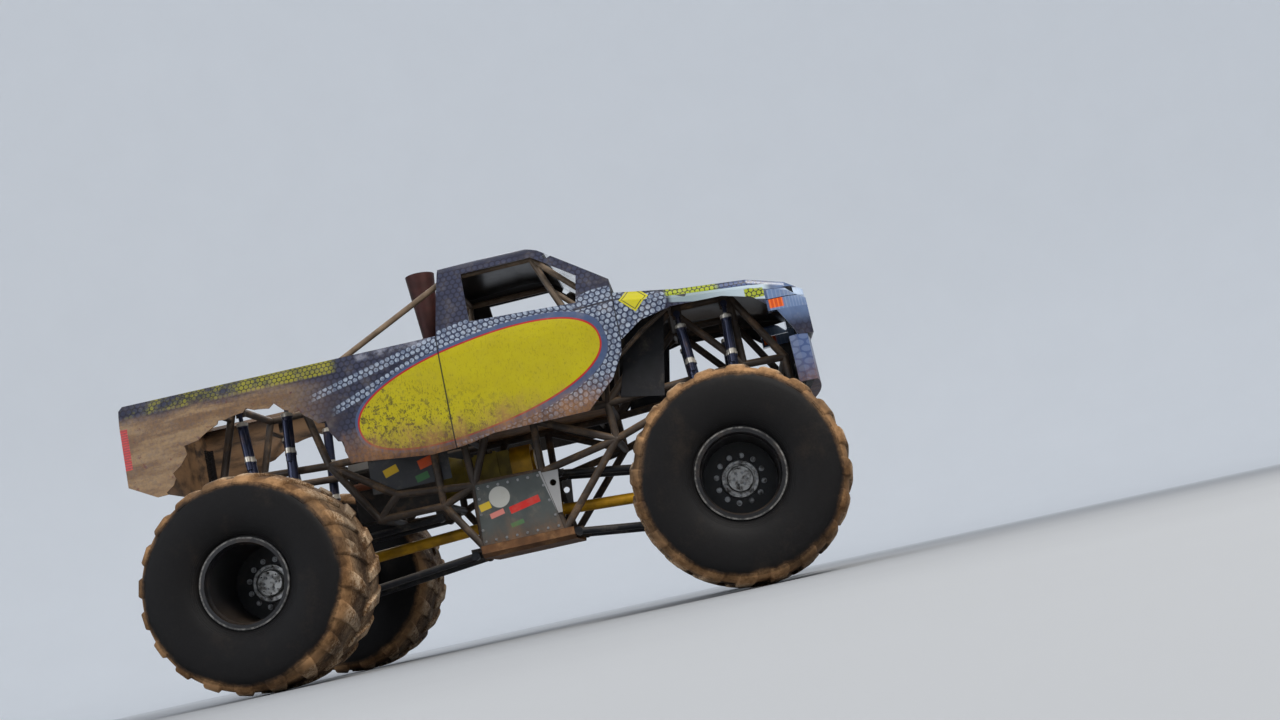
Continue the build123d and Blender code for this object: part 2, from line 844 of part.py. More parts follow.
# Exhaust stack: out of the engine's front, round an elbow and up to an open flare
stack_foot = (-400, 0, 1800)
stack_neck = (-370, 0, 2600)
stack_top_z = 3300
stack_radius = 62
flare_radius = 130
with BuildPart() as stack:
    tube((engine_front, 0, stack_foot[2]), stack_foot, stack_radius)
    collar(stack_foot, stack_radius + 8)
    tube(stack_foot, stack_neck, stack_radius)
    collar(stack_neck, stack_radius + 1)
    flare_height = stack_top_z - stack_neck[2]
    upward = (Align.CENTER, Align.CENTER, Align.MIN)
    with Locations(stack_neck):
        Cone(stack_radius, flare_radius, flare_height, align=upward)
        Cone(
            stack_radius - 8,
            flare_radius - 8,
            flare_height + 1,
            align=upward,
            mode=Mode.SUBTRACT,
        )
stack.part.label = "exhaust_stack"
export_step(stack.part, "parts/exhaust_stack.step")

# Pan under the frame, folded up along both sides and swept up at its ends
pan_half = low_y + frame_tube + weld + seat_gap
pan_low = low_z - 87
pan_top = low_z + 11
pan_wall = 8
pan_rear = nodes["low_rear"][0] - 25
pan_front = nodes["low_front"][0] + 75
pan_section = [
    (pan_half + pan_wall, pan_top), (pan_half + pan_wall, pan_low + 34),
    (pan_half - 60, pan_low), (60 - pan_half, pan_low),
    (-pan_half - pan_wall, pan_low + 34), (-pan_half - pan_wall, pan_top),
    (-pan_half, pan_top), (-pan_half, pan_low + 38), (64 - pan_half, pan_low + pan_wall),
    (pan_half - 64, pan_low + pan_wall), (pan_half, pan_low + 38), (pan_half, pan_top),
]
with BuildPart() as skid:
    with BuildSketch(Plane.YZ.offset(pan_rear)):
        with BuildLine():
            Polyline(*pan_section, close=True)
        make_face()
    extrude(amount=pan_front - pan_rear)
skid.part.label = "skid_plate"
export_step(skid.part, "parts/skid_plate.step")

panel_up = (Vector(*nodes["mid_rear"]) - Vector(*nodes["low_rear"])).normalized()
panel_out = Vector(0, panel_up.Z, -panel_up.Y).normalized()
panel_plane = Plane(
    origin=Vector(0, low_y, low_z) + panel_out * (frame_tube + weld + seat_gap),
    x_dir=(-1, 0, 0),
    z_dir=panel_out,
)
panel_wall = 6
panel_outline = [(190, 16), (-495, 16), (-400, 520), (160, 520)]
gusset_outline = [(-406, 505), (-545, 505), (-512, 150), (-476, 150)]
with BuildPart() as panels:
    with BuildSketch(panel_plane):
        with BuildLine():
            Polyline(*panel_outline, close=True)
        make_face()
    extrude(amount=panel_wall)
    # Corner gusset ahead of each panel, pierced to save weight
    with BuildSketch(panel_plane):
        with BuildLine():
            Polyline(*gusset_outline, close=True)
        make_face()
        with Locations((-484, 405)):
            Circle(27, mode=Mode.SUBTRACT)
    extrude(amount=panel_wall + 2)
    mirror(about=Plane.XZ)
panels.part.label = "side_panels"
export_step(panels.part, "parts/side_panels.step")

# Cab interior
floor_low = rail_z + frame_tube + weld + seat_gap
floor_top = floor_low + 6
top_rear_x = nodes["top_rear"][0]
top_fore_x = nodes["top_fore"][0]
floor_half = frame_y + 20
with BuildPart() as tub:
    block((top_rear_x + 40, -floor_half, floor_low), (top_fore_x - 65, floor_half, floor_top))
tub.part.label = "cab_floor"
export_step(tub.part, "parts/cab_floor.step")

# Bucket seat: a thin moulded shell between two deeper side bolsters
seat_half = 260
bolster = 60
seat_back = [
    (150, floor_top + 750), (95, floor_top + 845), (60, floor_top + 875),
    (-5, floor_top + 865), (-25, floor_top + 825), (10, floor_top + 525), (95, floor_top + 120),
]
seat_shell = [
    (100, floor_top), (600, floor_top), (620, floor_top + 60), (610, floor_top + 130),
    (560, floor_top + 150), (300, floor_top + 110), (235, floor_top + 150),
    (150, floor_top + 475),
]
seat_wing = [
    (100, floor_top), (600, floor_top), (628, floor_top + 70), (604, floor_top + 205),
    (430, floor_top + 235), (345, floor_top + 300), (290, floor_top + 525),
    (215, floor_top + 640),
]
with BuildPart() as seat:
    extrude(side_face(seat_shell + seat_back[1:], seat_half), amount=2 * seat_half)
    extrude(side_face(seat_wing + seat_back, seat_half), amount=bolster)
    extrude(side_face(seat_wing + seat_back, bolster - seat_half), amount=bolster)
seat.part.label = "driver_seat"
export_step(seat.part, "parts/driver_seat.step")

# Steering wheel on its column, and the dashboard behind the cage's cross tube
hand_wheel = (800, 0, 2260)
hand_wheel_radius = 170
column_foot = (1080, 0, 2200)
dash_x = cage_nodes["belt_front"][0] + cage_tube + seat_gap
with BuildPart() as wheel:
    with Locations(Plane(origin=hand_wheel, z_dir=(-0.8, 0, 0.6))):
        Torus(hand_wheel_radius, 16)
        Box(2 * hand_wheel_radius, 30, 12)
        Box(30, 2 * hand_wheel_radius, 12)
        Cylinder(48, 26)
    tube(hand_wheel, column_foot, 20)
    block((dash_x - seat_gap, -60, 2100), (dash_x + 200, 60, 2300), mode=Mode.SUBTRACT)
wheel.part.label = "steering_wheel"
export_step(wheel.part, "parts/steering_wheel.step")

dash_outline = [
    (dash_x, 2180), (dash_x + 90, 2180), (dash_x + 90, 2430), (dash_x + 40, 2430),
    (dash_x, 2395),
]
with BuildPart() as dash:
    extrude(side_face(dash_outline, 480), amount=960)
dash.part.label = "dashboard"
export_step(dash.part, "parts/dashboard.step")


# Body shell: outlines of the truck seen from the front
shell_low = 1400
tuck_z = sill_z - 85
knee_z = sill_z + 55
hip_z = belt_z - 200


def flank_edges(side, inset, top):
    """Tucked sill, upright flank and rounded shoulder of one side, up to the belt."""
    foot = (side * (belt_half - inset), tuck_z)
    knee = (side * (body_half - inset), knee_z)
    hip = (side * (body_half - inset), hip_z)
    belt = (side * (belt_half - inset), top)
    middle = (body_half + belt_half) / 2 - inset
    Line((side * (belt_half - 40 - inset), shell_low), foot)
    ThreePointArc(foot, (side * (middle + 8), (tuck_z + knee_z) / 2), knee)
    Line(knee, hip)
    ThreePointArc(hip, (side * (middle + 9), (hip_z + top) / 2), belt)


def shell_face(inset):
    """Front-view outline of the cab, drawn in by the wall."""
    with BuildSketch(Plane.YZ.offset(cab_rear_x)) as face:
        with BuildLine():
            for side in (1, -1):
                flank_edges(side, inset, belt_z)
                cant = (side * (roof_half - inset), roof_z - 60 - inset)
                crest = (side * (roof_half - 120 - inset), roof_z + 8 - inset)
                ThreePointArc(
                    (side * (belt_half - inset), belt_z),
                    (side * ((belt_half + roof_half) / 2 + 16 - inset), (belt_z + cant[1]) / 2),
                    cant,
                )
                ThreePointArc(cant, (side * (roof_half - 45 - inset), roof_z - 14 - inset), crest)
            Line(crest, (-crest[0], crest[1]))
            Line(
                (40 + inset - belt_half, shell_low),
                (belt_half - 40 - inset, shell_low),
            )
        make_face()
    return face.sketch


cowl_z = 2690
screen_run = 546                    # from the cowl back to the roof's front edge
roof_front_x = cab_front_x - screen_run
roof_front_z = roof_z - 52
cab_outline = [
    (cab_rear_x, sill_z - 55), (cab_rear_x + 110, sill_z - 45), (cab_rear_x + 320, sill_z - 5),
    (cab_front_x - 370, sill_z), (cab_front_x - 130, sill_z + 215), (cab_front_x - 20, sill_z + 405),
    (cab_front_x, sill_z + 515), (cab_front_x, cowl_z), (roof_front_x, roof_front_z),
    (roof_front_x - 104, roof_z - 5), (roof_front_x - 278, roof_z + 8),
    (cab_rear_x + 74, roof_z - 19), (cab_rear_x, belt_z),
]
cab_hollow = [
    (cab_rear_x - 1, sill_z - 145), (cab_front_x + 190, sill_z - 145),
    (cab_front_x + 190, cowl_z - 20), (cab_front_x, cowl_z - 14),
    (roof_front_x - 7, roof_front_z - 11), (roof_front_x - 109, roof_z - 17),
    (roof_front_x - 278, roof_z - 4), (cab_rear_x + 84, roof_z - 31),
    (cab_rear_x + shell, belt_z + 20), (cab_rear_x + shell, belt_z - 60),
    (cab_rear_x - 1, belt_z - 60),
]
window = [
    (cab_rear_x + 270, roof_z - 115), (roof_front_x - 64, roof_z - 105),
    (cab_front_x - 260, cowl_z + 100), (cab_front_x - 300, belt_z + 15),
    (cab_front_x - 640, belt_z + 35), (cab_rear_x + 290, belt_z + 62),
]

with BuildPart() as cab_void:
    extrude(shell_face(shell), amount=cab_front_x - cab_rear_x + 50)
    extrude(side_face(cab_hollow, 1000), amount=2000, mode=Mode.INTERSECT)

# Windscreen and rear window openings, drawn on their own slopes
screen_foot = Vector(cab_front_x, 0, cowl_z)
screen_head = Vector(roof_front_x, 0, roof_front_z)
screen_plane = Plane(
    origin=(screen_foot + screen_head) / 2,
    x_dir=(0, 1, 0),
    z_dir=(screen_foot - screen_head).cross(Vector(0, -1, 0)),
)
screen_half = (screen_foot - screen_head).length / 2 - 70
screen_foot_half = body_half - 210
screen_head_half = roof_half - 140
screen_outline = [
    (-screen_foot_half, -screen_half),
    (screen_foot_half, -screen_half),
    (screen_head_half, screen_half),
    (-screen_head_half, screen_half),
]

with BuildPart() as cab:
    extrude(shell_face(0), amount=cab_front_x - cab_rear_x)
    extrude(side_face(cab_outline, 1000), amount=2000, mode=Mode.INTERSECT)
    add(cab_void.part, mode=Mode.SUBTRACT)
    extrude(side_face(window, 1000), amount=2000, mode=Mode.SUBTRACT)
    with BuildSketch(screen_plane):
        with BuildLine():
            Polyline(*screen_outline, close=True)
        make_face()
    extrude(amount=40, both=True, mode=Mode.SUBTRACT)
    rear_half = roof_half - 60
    block(
        (cab_rear_x - 50, -rear_half, belt_z + 90),
        (cab_rear_x + 170, rear_half, roof_z - 75),
        mode=Mode.SUBTRACT,
    )
cab.part.label = "body_cab"
export_step(cab.part, "parts/body_cab.step")

with BuildPart() as screen:
    with BuildSketch(screen_plane.offset(3)):
        with BuildLine():
            Polyline(*screen_outline, close=True)
        make_face()
    extrude(amount=6)
screen.part.label = "windscreen"
export_step(screen.part, "parts/windscreen.step")


# Front clip: hood and fenders, from cross sections (x, half width, fender height, hood height)
def hood_face(x, half, fender_z, hood_z, low_z, inset):
    """Cross section of the front clip, drawn in by the wall."""
    side = half - inset
    with BuildSketch(Plane.YZ.offset(x)) as face:
        with BuildLine():
            Polyline((-side, fender_z - 110), (-side, low_z), (side, low_z), (side, fender_z - 110))
            RadiusArc((side, fender_z - 110), (side - 90, fender_z - 20 - inset), 95)
            Line((side - 90, fender_z - 20 - inset), (crease_half, fender_z - inset))
            ThreePointArc(
                (crease_half, fender_z - inset),
                (0, hood_z - inset),
                (-crease_half, fender_z - inset),
            )
            Line((-crease_half, fender_z - inset), (90 - side, fender_z - 20 - inset))
            RadiusArc((90 - side, fender_z - 20 - inset), (-side, fender_z - 110), 95)
        make_face()
    return face.sketch


crease_half = body_half - 330
nose_half = body_half - 110
cowl_section = (cab_front_x, body_half, cowl_z - 100, cowl_z)
hood_sections = [
    cowl_section,
    (nose_x - 995, body_half, cowl_z - 190, cowl_z - 100),
    (nose_x - 445, body_half, cowl_z - 240, cowl_z - 160),
    (nose_x - 145, body_half - 40, cowl_z - 320, cowl_z - 250),
    (nose_x, nose_half, cowl_z - 400, cowl_z - 350),
]
nose_low = 1890
with BuildPart() as clip_void:
    void_sections = [
        (cab_front_x - 20, *cowl_section[1:]),
        *hood_sections[1:4],
        (nose_x - shell, nose_half + 5, cowl_z - 395, cowl_z - 345),
    ]
    loft([hood_face(*section, nose_low - 300, shell) for section in void_sections], ruled=True)

arch_back = cab_front_x - 110
arch_front = nose_x - 130
arch_foot = nose_low - 390
front_arch = [
    (arch_back, 2160), (cab_front_x + 10, 2160), (front_axle_x - 495, 2280),
    (front_axle_x - 235, 2335), (front_axle_x + 185, 2325), (nose_x - 425, 2260),
    (nose_x - 255, 2120), (nose_x - 165, 1960), (arch_front, nose_low - 10),
    (arch_front, arch_foot), (arch_back, arch_foot),
]
grille_half = body_half - 350
grille_low = nose_low + 70
grille_high = nose_low + 340
lamp_inner = body_half - 310
lamp_rear_x = nose_x - 325
lamp_low = nose_low + 230
lamp_high = nose_low + 420
with BuildPart() as clip:
    loft([hood_face(*section, nose_low, 0) for section in hood_sections], ruled=True)
    add(clip_void.part, mode=Mode.SUBTRACT)
    extrude(side_face(front_arch, 1000), amount=2000, mode=Mode.SUBTRACT)
    # Grille opening and the openings of the lamps at the corners
    block(
        (nose_x - 60, -grille_half, grille_low),
        (nose_x + 20, grille_half, grille_high),
        mode=Mode.SUBTRACT,
    )
    for side in (1, -1):
        low, high = sorted((side * lamp_inner, side * (body_half + 30)))
        block((lamp_rear_x, low, lamp_low), (nose_x + 20, high, lamp_high), mode=Mode.SUBTRACT)
clip.part.label = "body_front"
export_step(clip.part, "parts/body_front.step")

grille_rim = 30
with BuildPart() as grille:
    block((nose_x - 30, -grille_half, grille_low), (nose_x - 2, grille_half, grille_high))
    block(
        (nose_x - 31, grille_rim - grille_half, grille_low + grille_rim),
        (nose_x - 1, grille_half - grille_rim, grille_high - grille_rim),
        mode=Mode.SUBTRACT,
    )
    bar_count = 6
    for index in range(bar_count):
        bar_z = grille_low + (index + 1) / (bar_count + 1) * (grille_high - grille_low)
        # Each bar is a slat, thinner at its leading edge
        slat = [
            (nose_x - 26, bar_z - 8), (nose_x - 6, bar_z - 3),
            (nose_x - 6, bar_z + 3), (nose_x - 26, bar_z + 8),
        ]
        extrude(side_face(slat, grille_half - 20), amount=2 * grille_half - 40)
    for y in (-grille_half / 2, 0, grille_half / 2):
        block((nose_x - 24, y - 8, grille_low + 20), (nose_x - 8, y + 8, grille_high - 20))
grille.part.label = "grille"
export_step(grille.part, "parts/grille.step")

lamp_wall = 85
with BuildPart() as lamps:
    lamp_sections = [
        (lamp_rear_x, body_half - 16, cowl_z - 270, cowl_z - 195),
        *hood_sections[3:],
    ]
    loft([hood_face(*section, lamp_low, 0) for section in lamp_sections], ruled=True)
    back, ahead = lamp_rear_x - 20, nose_x + 55
    block((back, -2000, lamp_high), (ahead, 2000, lamp_high + 290), mode=Mode.SUBTRACT)
    block((back, -lamp_inner, 2000), (ahead, lamp_inner, 2600), mode=Mode.SUBTRACT)
    block(
        (back, -nose_half, 2000),
        (nose_x - lamp_wall, nose_half, 2600),
        mode=Mode.SUBTRACT,
    )
    # Split between the headlamp and the turn lamp under it
    block((back, -2000, lamp_low + 92), (ahead, 2000, lamp_low + 98), mode=Mode.SUBTRACT)
lamps.part.label = "front_lamps"
export_step(lamps.part, "parts/front_lamps.step")

bumper_low = 1510
slot_width = 250
bumper_back = bumper_x - 225
bumper_edge = bumper_x - 75
with BuildPart() as bumper:
    with BuildSketch(Plane.XY.offset(bumper_low)):
        with BuildLine():
            Polyline(
                (bumper_edge, body_half - 90),
                (bumper_x - 165, belt_half),
                (bumper_back, body_half - 70),
                (bumper_back, 70 - body_half),
                (bumper_x - 165, -belt_half),
                (bumper_edge, 90 - body_half),
            )
            ThreePointArc((bumper_edge, 90 - body_half), (bumper_x, 0), (bumper_edge, body_half - 90))
        make_face()
    extrude(amount=nose_low - bumper_low)
    block(
        (bumper_back - 40, 110 - body_half, bumper_low - 10),
        (bumper_x - 105, body_half - 110, nose_low + 110),
        mode=Mode.SUBTRACT,
    )
    # Three air slots low in the middle
    for slot_y in (-slot_width, 0, slot_width):
        block(
            (bumper_back, slot_y - slot_width / 2 + 14, bumper_low + 90),
            (bumper_x + 10, slot_y + slot_width / 2 - 14, bumper_low + 190),
            mode=Mode.SUBTRACT,
        )
bumper.part.label = "front_bumper"
export_step(bumper.part, "parts/front_bumper.step")

# Bed: sides, tailgate and rolled top rails, open above and below
tail_lamp_inner = body_half - 120
tail_lamp_low = 1990
tail_lamp_depth = 60
tail_lamp_wall = 30
tailgate_half = body_half - 230
bed_outline = [
    (cab_rear_x, sill_z - 55), (cab_rear_x - 210, sill_z - 65), (cab_rear_x - 730, sill_z - 5),
    (cab_rear_x - 840, sill_z + 5), (tail_x + 385, sill_z + 85), (tail_x + 225, sill_z + 80),
    (tail_x, sill_z + 205), (tail_x, belt_z - 35), (tail_x + 30, belt_z), (cab_rear_x, belt_z),
]


def bed_face(inset, top):
    """Front-view outline of the bed, drawn in by the wall."""
    with BuildSketch(Plane.YZ.offset(tail_x)) as face:
        with BuildLine():
            for side in (1, -1):
                flank_edges(side, inset, top)
            Line((belt_half - inset, top), (inset - belt_half, top))
            Line(
                (40 + inset - belt_half, shell_low),
                (belt_half - 40 - inset, shell_low),
            )
        make_face()
    return face.sketch


bed_length = cab_rear_x - tail_x
rail_lip = 75
rail_thick = 30
with BuildPart() as bed_void:
    extrude(bed_face(shell, belt_z - rail_thick), amount=bed_length)
    block((tail_x - 1, -1000, shell_low - 1), (tail_x + shell, 1000, belt_z), mode=Mode.SUBTRACT)

# Torn edge of the rear arch: degrees round from the front, depth, half width in degrees
torn_bites = [
    (24, 34, 4.5), (40, 50, 5), (58, 24, 4), (73, 44, 5), (90, 28, 4),
    (108, 22, 3.5), (131, 62, 6), (148, 36, 5), (160, 48, 4),
]


def arch_point(degrees, radius):
    """Side-view point at an angle round the rear arch."""
    turn = radians(degrees)
    return (rear_axle_x + radius * cos(turn), arch_z + radius * sin(turn))


with BuildPart() as bed:
    extrude(bed_face(0, belt_z), amount=bed_length)
    extrude(side_face(bed_outline, 1000), amount=2000, mode=Mode.INTERSECT)
    add(bed_void.part, mode=Mode.SUBTRACT)
    block(
        (tail_x + rail_lip, rail_lip - belt_half, belt_z - 2 * rail_thick),
        (cab_rear_x + 1, belt_half - rail_lip, belt_z + 10),
        mode=Mode.SUBTRACT,
    )
    with Locations(Plane(origin=(rear_axle_x, 0, arch_z), z_dir=(0, 1, 0))):
        Cylinder(arch_radius, 2200, mode=Mode.SUBTRACT)
    for degrees, depth, spread in torn_bites:
        bite = [
            arch_point(degrees - spread, arch_radius - 5),
            arch_point(degrees + spread * 0.4, arch_radius + depth),
            arch_point(degrees + spread, arch_radius - 5),
        ]
        extrude(side_face(bite, 1000), amount=2000, mode=Mode.SUBTRACT)
    # Recessed face of the tailgate
    block(
        (tail_x - 1, -tailgate_half, tail_lamp_low),
        (tail_x + shell / 2, tailgate_half, hip_z + 70),
        mode=Mode.SUBTRACT,
    )
    for side in (1, -1):
        low, high = sorted((side * tail_lamp_inner, side * (body_half + 30)))
        block(
            (tail_x - 1, low, tail_lamp_low),
            (tail_x + tail_lamp_depth, high, hip_z),
            mode=Mode.SUBTRACT,
        )
bed.part.label = "body_bed"
export_step(bed.part, "parts/body_bed.step")

with BuildPart() as tail_lamps:
    for side in (1, -1):
        low, high = sorted((side * tail_lamp_inner, side * body_half))
        block((tail_x, low, tail_lamp_low), (tail_x + tail_lamp_depth, high, hip_z))
        low, high = sorted((side * (tail_lamp_inner - 1), side * (body_half - tail_lamp_wall)))
        block(
            (tail_x + tail_lamp_wall, low, tail_lamp_low - 1),
            (tail_x + tail_lamp_depth + 1, high, hip_z + 1),
            mode=Mode.SUBTRACT,
        )
tail_lamps.part.label = "tail_lamps"
export_step(tail_lamps.part, "parts/tail_lamps.step")
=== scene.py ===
import bmesh
import bpy
import math
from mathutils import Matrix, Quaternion, Vector


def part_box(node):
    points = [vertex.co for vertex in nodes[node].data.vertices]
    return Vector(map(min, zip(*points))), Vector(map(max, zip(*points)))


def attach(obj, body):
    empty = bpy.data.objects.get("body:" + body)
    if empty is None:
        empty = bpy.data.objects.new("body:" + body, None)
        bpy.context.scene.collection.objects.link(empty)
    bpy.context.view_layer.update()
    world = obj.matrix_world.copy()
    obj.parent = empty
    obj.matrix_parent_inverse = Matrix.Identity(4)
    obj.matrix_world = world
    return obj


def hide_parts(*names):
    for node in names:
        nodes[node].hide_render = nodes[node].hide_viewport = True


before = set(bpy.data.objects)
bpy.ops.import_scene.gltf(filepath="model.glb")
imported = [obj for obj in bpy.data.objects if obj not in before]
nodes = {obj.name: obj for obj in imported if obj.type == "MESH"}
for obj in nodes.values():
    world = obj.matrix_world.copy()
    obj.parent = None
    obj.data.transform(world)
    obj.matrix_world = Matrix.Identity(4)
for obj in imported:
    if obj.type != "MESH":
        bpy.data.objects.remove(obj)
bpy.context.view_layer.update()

# Places that the frame gives, in metres
corners = ("fl", "fr", "rl", "rr")
tyre_low, tyre_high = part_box("tyre_fl")
tyre_radius = (tyre_high.z - tyre_low.z) / 2
tyre_half = (tyre_high.y - tyre_low.y) / 2
track_half = (tyre_high.y + tyre_low.y) / 2
hub_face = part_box("hub_fl")[1].y - track_half
floor_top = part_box("cab_floor")[1].z
cab_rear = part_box("body_cab")[0].x
cab_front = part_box("body_cab")[1].x
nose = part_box("body_front")[1].x
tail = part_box("body_bed")[0].x
lamps_low, lamps_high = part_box("front_lamps")


# Stage, light and camera
def stage_bowl():
    """Pale floor that curves up into a backdrop on every side."""
    mesh = bpy.data.meshes.new("stage_bowl")
    bm = bmesh.new()
    flat, bend, wall, bend_steps, around = 26.0, 9.0, 16.0, 12, 96
    profile = [(0.0, 0.0), (flat * 0.3, 0.0), (flat, 0.0)]
    for step in range(1, bend_steps + 1):
        turn = math.pi / 2 * step / bend_steps
        profile.append((flat + bend * math.sin(turn), bend * (1 - math.cos(turn))))
    profile.append((flat + bend, bend + wall))
    centre = bm.verts.new((0, 0, 0))
    rings = []
    for radius, height in profile[1:]:
        ring = []
        for i in range(around):
            angle = 2 * math.pi * i / around
            ring.append(bm.verts.new((radius * math.cos(angle), radius * math.sin(angle), height)))
        rings.append(ring)
    for i in range(around):
        j = (i + 1) % around
        bm.faces.new((centre, rings[0][i], rings[0][j]))
        for inner, outer in zip(rings, rings[1:]):
            bm.faces.new((inner[i], outer[i], outer[j], inner[j]))
    bm.to_mesh(mesh)
    bm.free()
    for face in mesh.polygons:
        face.use_smooth = True
    bowl = bpy.data.objects.new("stage_bowl", mesh)
    bpy.context.collection.objects.link(bowl)
    return bowl


def area_light(name, place, target, size, power, colour):
    """Soft rectangular light that looks at a point."""
    data = bpy.data.lights.new(name, "AREA")
    data.shape = "RECTANGLE"
    data.size, data.size_y = size
    data.energy = power
    data.color = colour
    light = bpy.data.objects.new(name, data)
    light.location = place
    aim = Vector(target) - Vector(place)
    light.rotation_euler = aim.to_track_quat("-Z", "Y").to_euler()
    bpy.context.collection.objects.link(light)


bowl = stage_bowl()
# Name, place, point looked at, size, power in watts, colour
lights = (
    ("key", (7, -10, 11), (0.3, 0, 1.6), (5, 5), 2100, (1.0, 0.96, 0.90)),
    ("fill", (-9, -9, 4), (-0.5, 0, 1.4), (8, 5), 420, (0.90, 0.94, 1.0)),
    ("back", (-4, 12, 9), (0, 0, 1.5), (8, 6), 500, (0.95, 0.97, 1.0)),
)
for light_row in lights:
    area_light(*light_row)

scene = bpy.context.scene
world = bpy.data.worlds.new("studio")
scene.world = world
world.use_nodes = True
background = world.node_tree.nodes["Background"].inputs
background["Color"].default_value = (0.82, 0.87, 0.95, 1)
background["Strength"].default_value = 0.80
scene.view_settings.view_transform = "Standard"

# The photograph looks up at the nose-up truck, so the camera lies on the floor and rolls
camera_place = (1.757, -12.04, 0.10)
camera_yaw, camera_pitch, camera_roll = (math.radians(angle) for angle in (-1.72, 9.52, -12.39))
camera_lens, sensor_width = 39.2, 36                    # millimetres
camera_data = bpy.data.cameras.new("camera")
camera_data.lens = camera_lens
camera_data.sensor_width = sensor_width
camera = bpy.data.objects.new("camera", camera_data)
sight = Vector((
    math.sin(camera_yaw) * math.cos(camera_pitch),
    math.cos(camera_yaw) * math.cos(camera_pitch),
    math.sin(camera_pitch),
))
camera.location = camera_place
camera.rotation_mode = "QUATERNION"
camera.rotation_quaternion = sight.to_track_quat("-Z", "Y") @ Quaternion((0, 0, 1), camera_roll)
bpy.context.collection.objects.link(camera)
scene.camera = camera


# Procedural materials
def rgb(red, green, blue):
    """Colour from screen values 0 to 255."""
    return tuple(((v / 255 + 0.055) / 1.055) ** 2.4 if v > 10 else v / 255 / 12.92
                 for v in (red, green, blue)) + (1.0,)


class Look:
    """A material and short calls for its nodes; sockets or plain numbers go in, sockets come out."""

    def __init__(self, name, roughness=0.5, metallic=0.0, specular=0.3):
        self.material = bpy.data.materials.new(name)
        self.material.use_nodes = True
        self.tree = self.material.node_tree
        self.shader = self.tree.nodes["Principled BSDF"]
        self.set("Roughness", roughness)
        self.set("Metallic", metallic)
        self.set("Specular IOR Level", specular)
        self.place = self.node("TexCoord").outputs["Object"]
        self.x, self.y, self.z = self.parts(self.place)
        self.normal = self.node("NewGeometry").outputs["Normal"]
        self.normal_z = self.parts(self.normal)[2]

    def feed(self, socket, value):
        if isinstance(value, bpy.types.NodeSocket):
            self.tree.links.new(value, socket)
        else:
            socket.default_value = value

    def set(self, name, value):
        """One input of the material's shader."""
        self.feed(self.shader.inputs[name], value)

    def node(self, kind, values=(), **settings):
        """New node with its settings and its (socket name or number, value) pairs."""
        node = self.tree.nodes.new("ShaderNode" + kind)
        for name, value in settings.items():
            setattr(node, name, value)
        for socket, value in values:
            self.feed(node.inputs[socket], value)
        return node

    def parts(self, value):
        return self.node("SeparateXYZ", [(0, value)]).outputs

    def math(self, kind, *values, clamp=False):
        return self.node("Math", enumerate(values), operation=kind, use_clamp=clamp).outputs[0]

    def minus(self, value, other):
        return self.math("SUBTRACT", value, other)

    def abs(self, value):
        return self.math("ABSOLUTE", value)

    def most(self, value, other):
        return self.math("MAXIMUM", value, other)

    def times(self, first, *others):
        """Product of masks and plain numbers."""
        for other in others:
            first = self.math("MULTIPLY", first, other)
        return first

    def line(self, *terms):
        """Sum of (factor, socket) products and plain numbers."""
        out = None
        for term in terms:
            value = self.times(term[1], term[0]) if isinstance(term, tuple) else term
            out = value if out is None else self.math("ADD", out, value)
        return out

    def vector(self, x, y, z=0.0):
        return self.node("CombineXYZ", enumerate((x, y, z))).outputs[0]

    def vmath(self, kind, *values):
        node = self.node("VectorMath", enumerate(values), operation=kind)
        return node.outputs["Value"] if kind in ("LENGTH", "DOT_PRODUCT") else node.outputs[0]

    def length(self, *sides):
        return self.vmath("LENGTH", self.vector(*sides))

    def wheel_radius(self, x):
        """Distance from the axle line of the wheel at x."""
        return self.length(self.minus(self.x, x), self.minus(self.z, tyre_radius))

    def ramp(self, value, low, high):
        """0 below low, 1 above high, smooth between; low may lie above high."""
        start, end = (0.0, 1.0) if low <= high else (1.0, 0.0)
        low, high = sorted((low, high))
        values = [("Value", value), ("From Min", low), ("From Max", high)]
        values += [("To Min", start), ("To Max", end)]
        return self.node("MapRange", values, interpolation_type="SMOOTHSTEP").outputs[0]

    def band(self, value, low, high, soft=0.004):
        """1 between low and high."""
        return self.times(self.ramp(value, low - soft, low + soft),
                          self.ramp(value, high + soft, high - soft))

    def mix(self, share, under, over):
        return self.node("Mix", ((0, share), (6, under), (7, over)), data_type="RGBA").outputs[2]

    def noise(self, scale, detail=4.0, rough=0.55, stretch=None):
        place = self.vmath("MULTIPLY", self.place, stretch) if stretch else self.place
        values = (("Vector", place), ("Scale", scale), ("Detail", detail), ("Roughness", rough))
        return self.node("TexNoise", values).outputs["Fac"]

    def outside(self, centre):
        """1 on faces that look away from a point, 0 on faces that look towards it."""
        away = self.vmath("SUBTRACT", self.place, centre)
        return self.ramp(self.vmath("DOT_PRODUCT", away, self.normal), -0.03, 0.03)

    def side_disc(self, centre, radius):
        """1 within a round patch in the side view."""
        gap = self.length(self.minus(self.x, centre[0]), self.minus(self.z, centre[1]))
        return self.ramp(gap, radius + 0.003, radius - 0.003)

    def side_frame(self, start, end):
        """Distances along and above a slanted line in the side view."""
        run = Vector((end[0] - start[0], end[1] - start[1])).normalized()
        along = self.line((run.x, self.x), (run.y, self.z), -run.x * start[0] - run.y * start[1])
        above = self.line((-run.y, self.x), (run.x, self.z), run.y * start[0] - run.x * start[1])
        return along, above

    def side_bar(self, start, end, half, soft=0.003):
        """1 within a slanted bar in the side view."""
        along, above = self.side_frame(start, end)
        return self.times(self.band(along, 0.0, math.dist(start, end), soft),
                          self.band(above, -half, half, soft))

    def colour(self, value):
        self.set("Base Color", value)

    def rough(self, value, low, high):
        """Roughness from low to high as a 0 to 1 value rises."""
        values = (("Value", value), ("To Min", low), ("To Max", high))
        self.set("Roughness", self.node("MapRange", values).outputs[0])

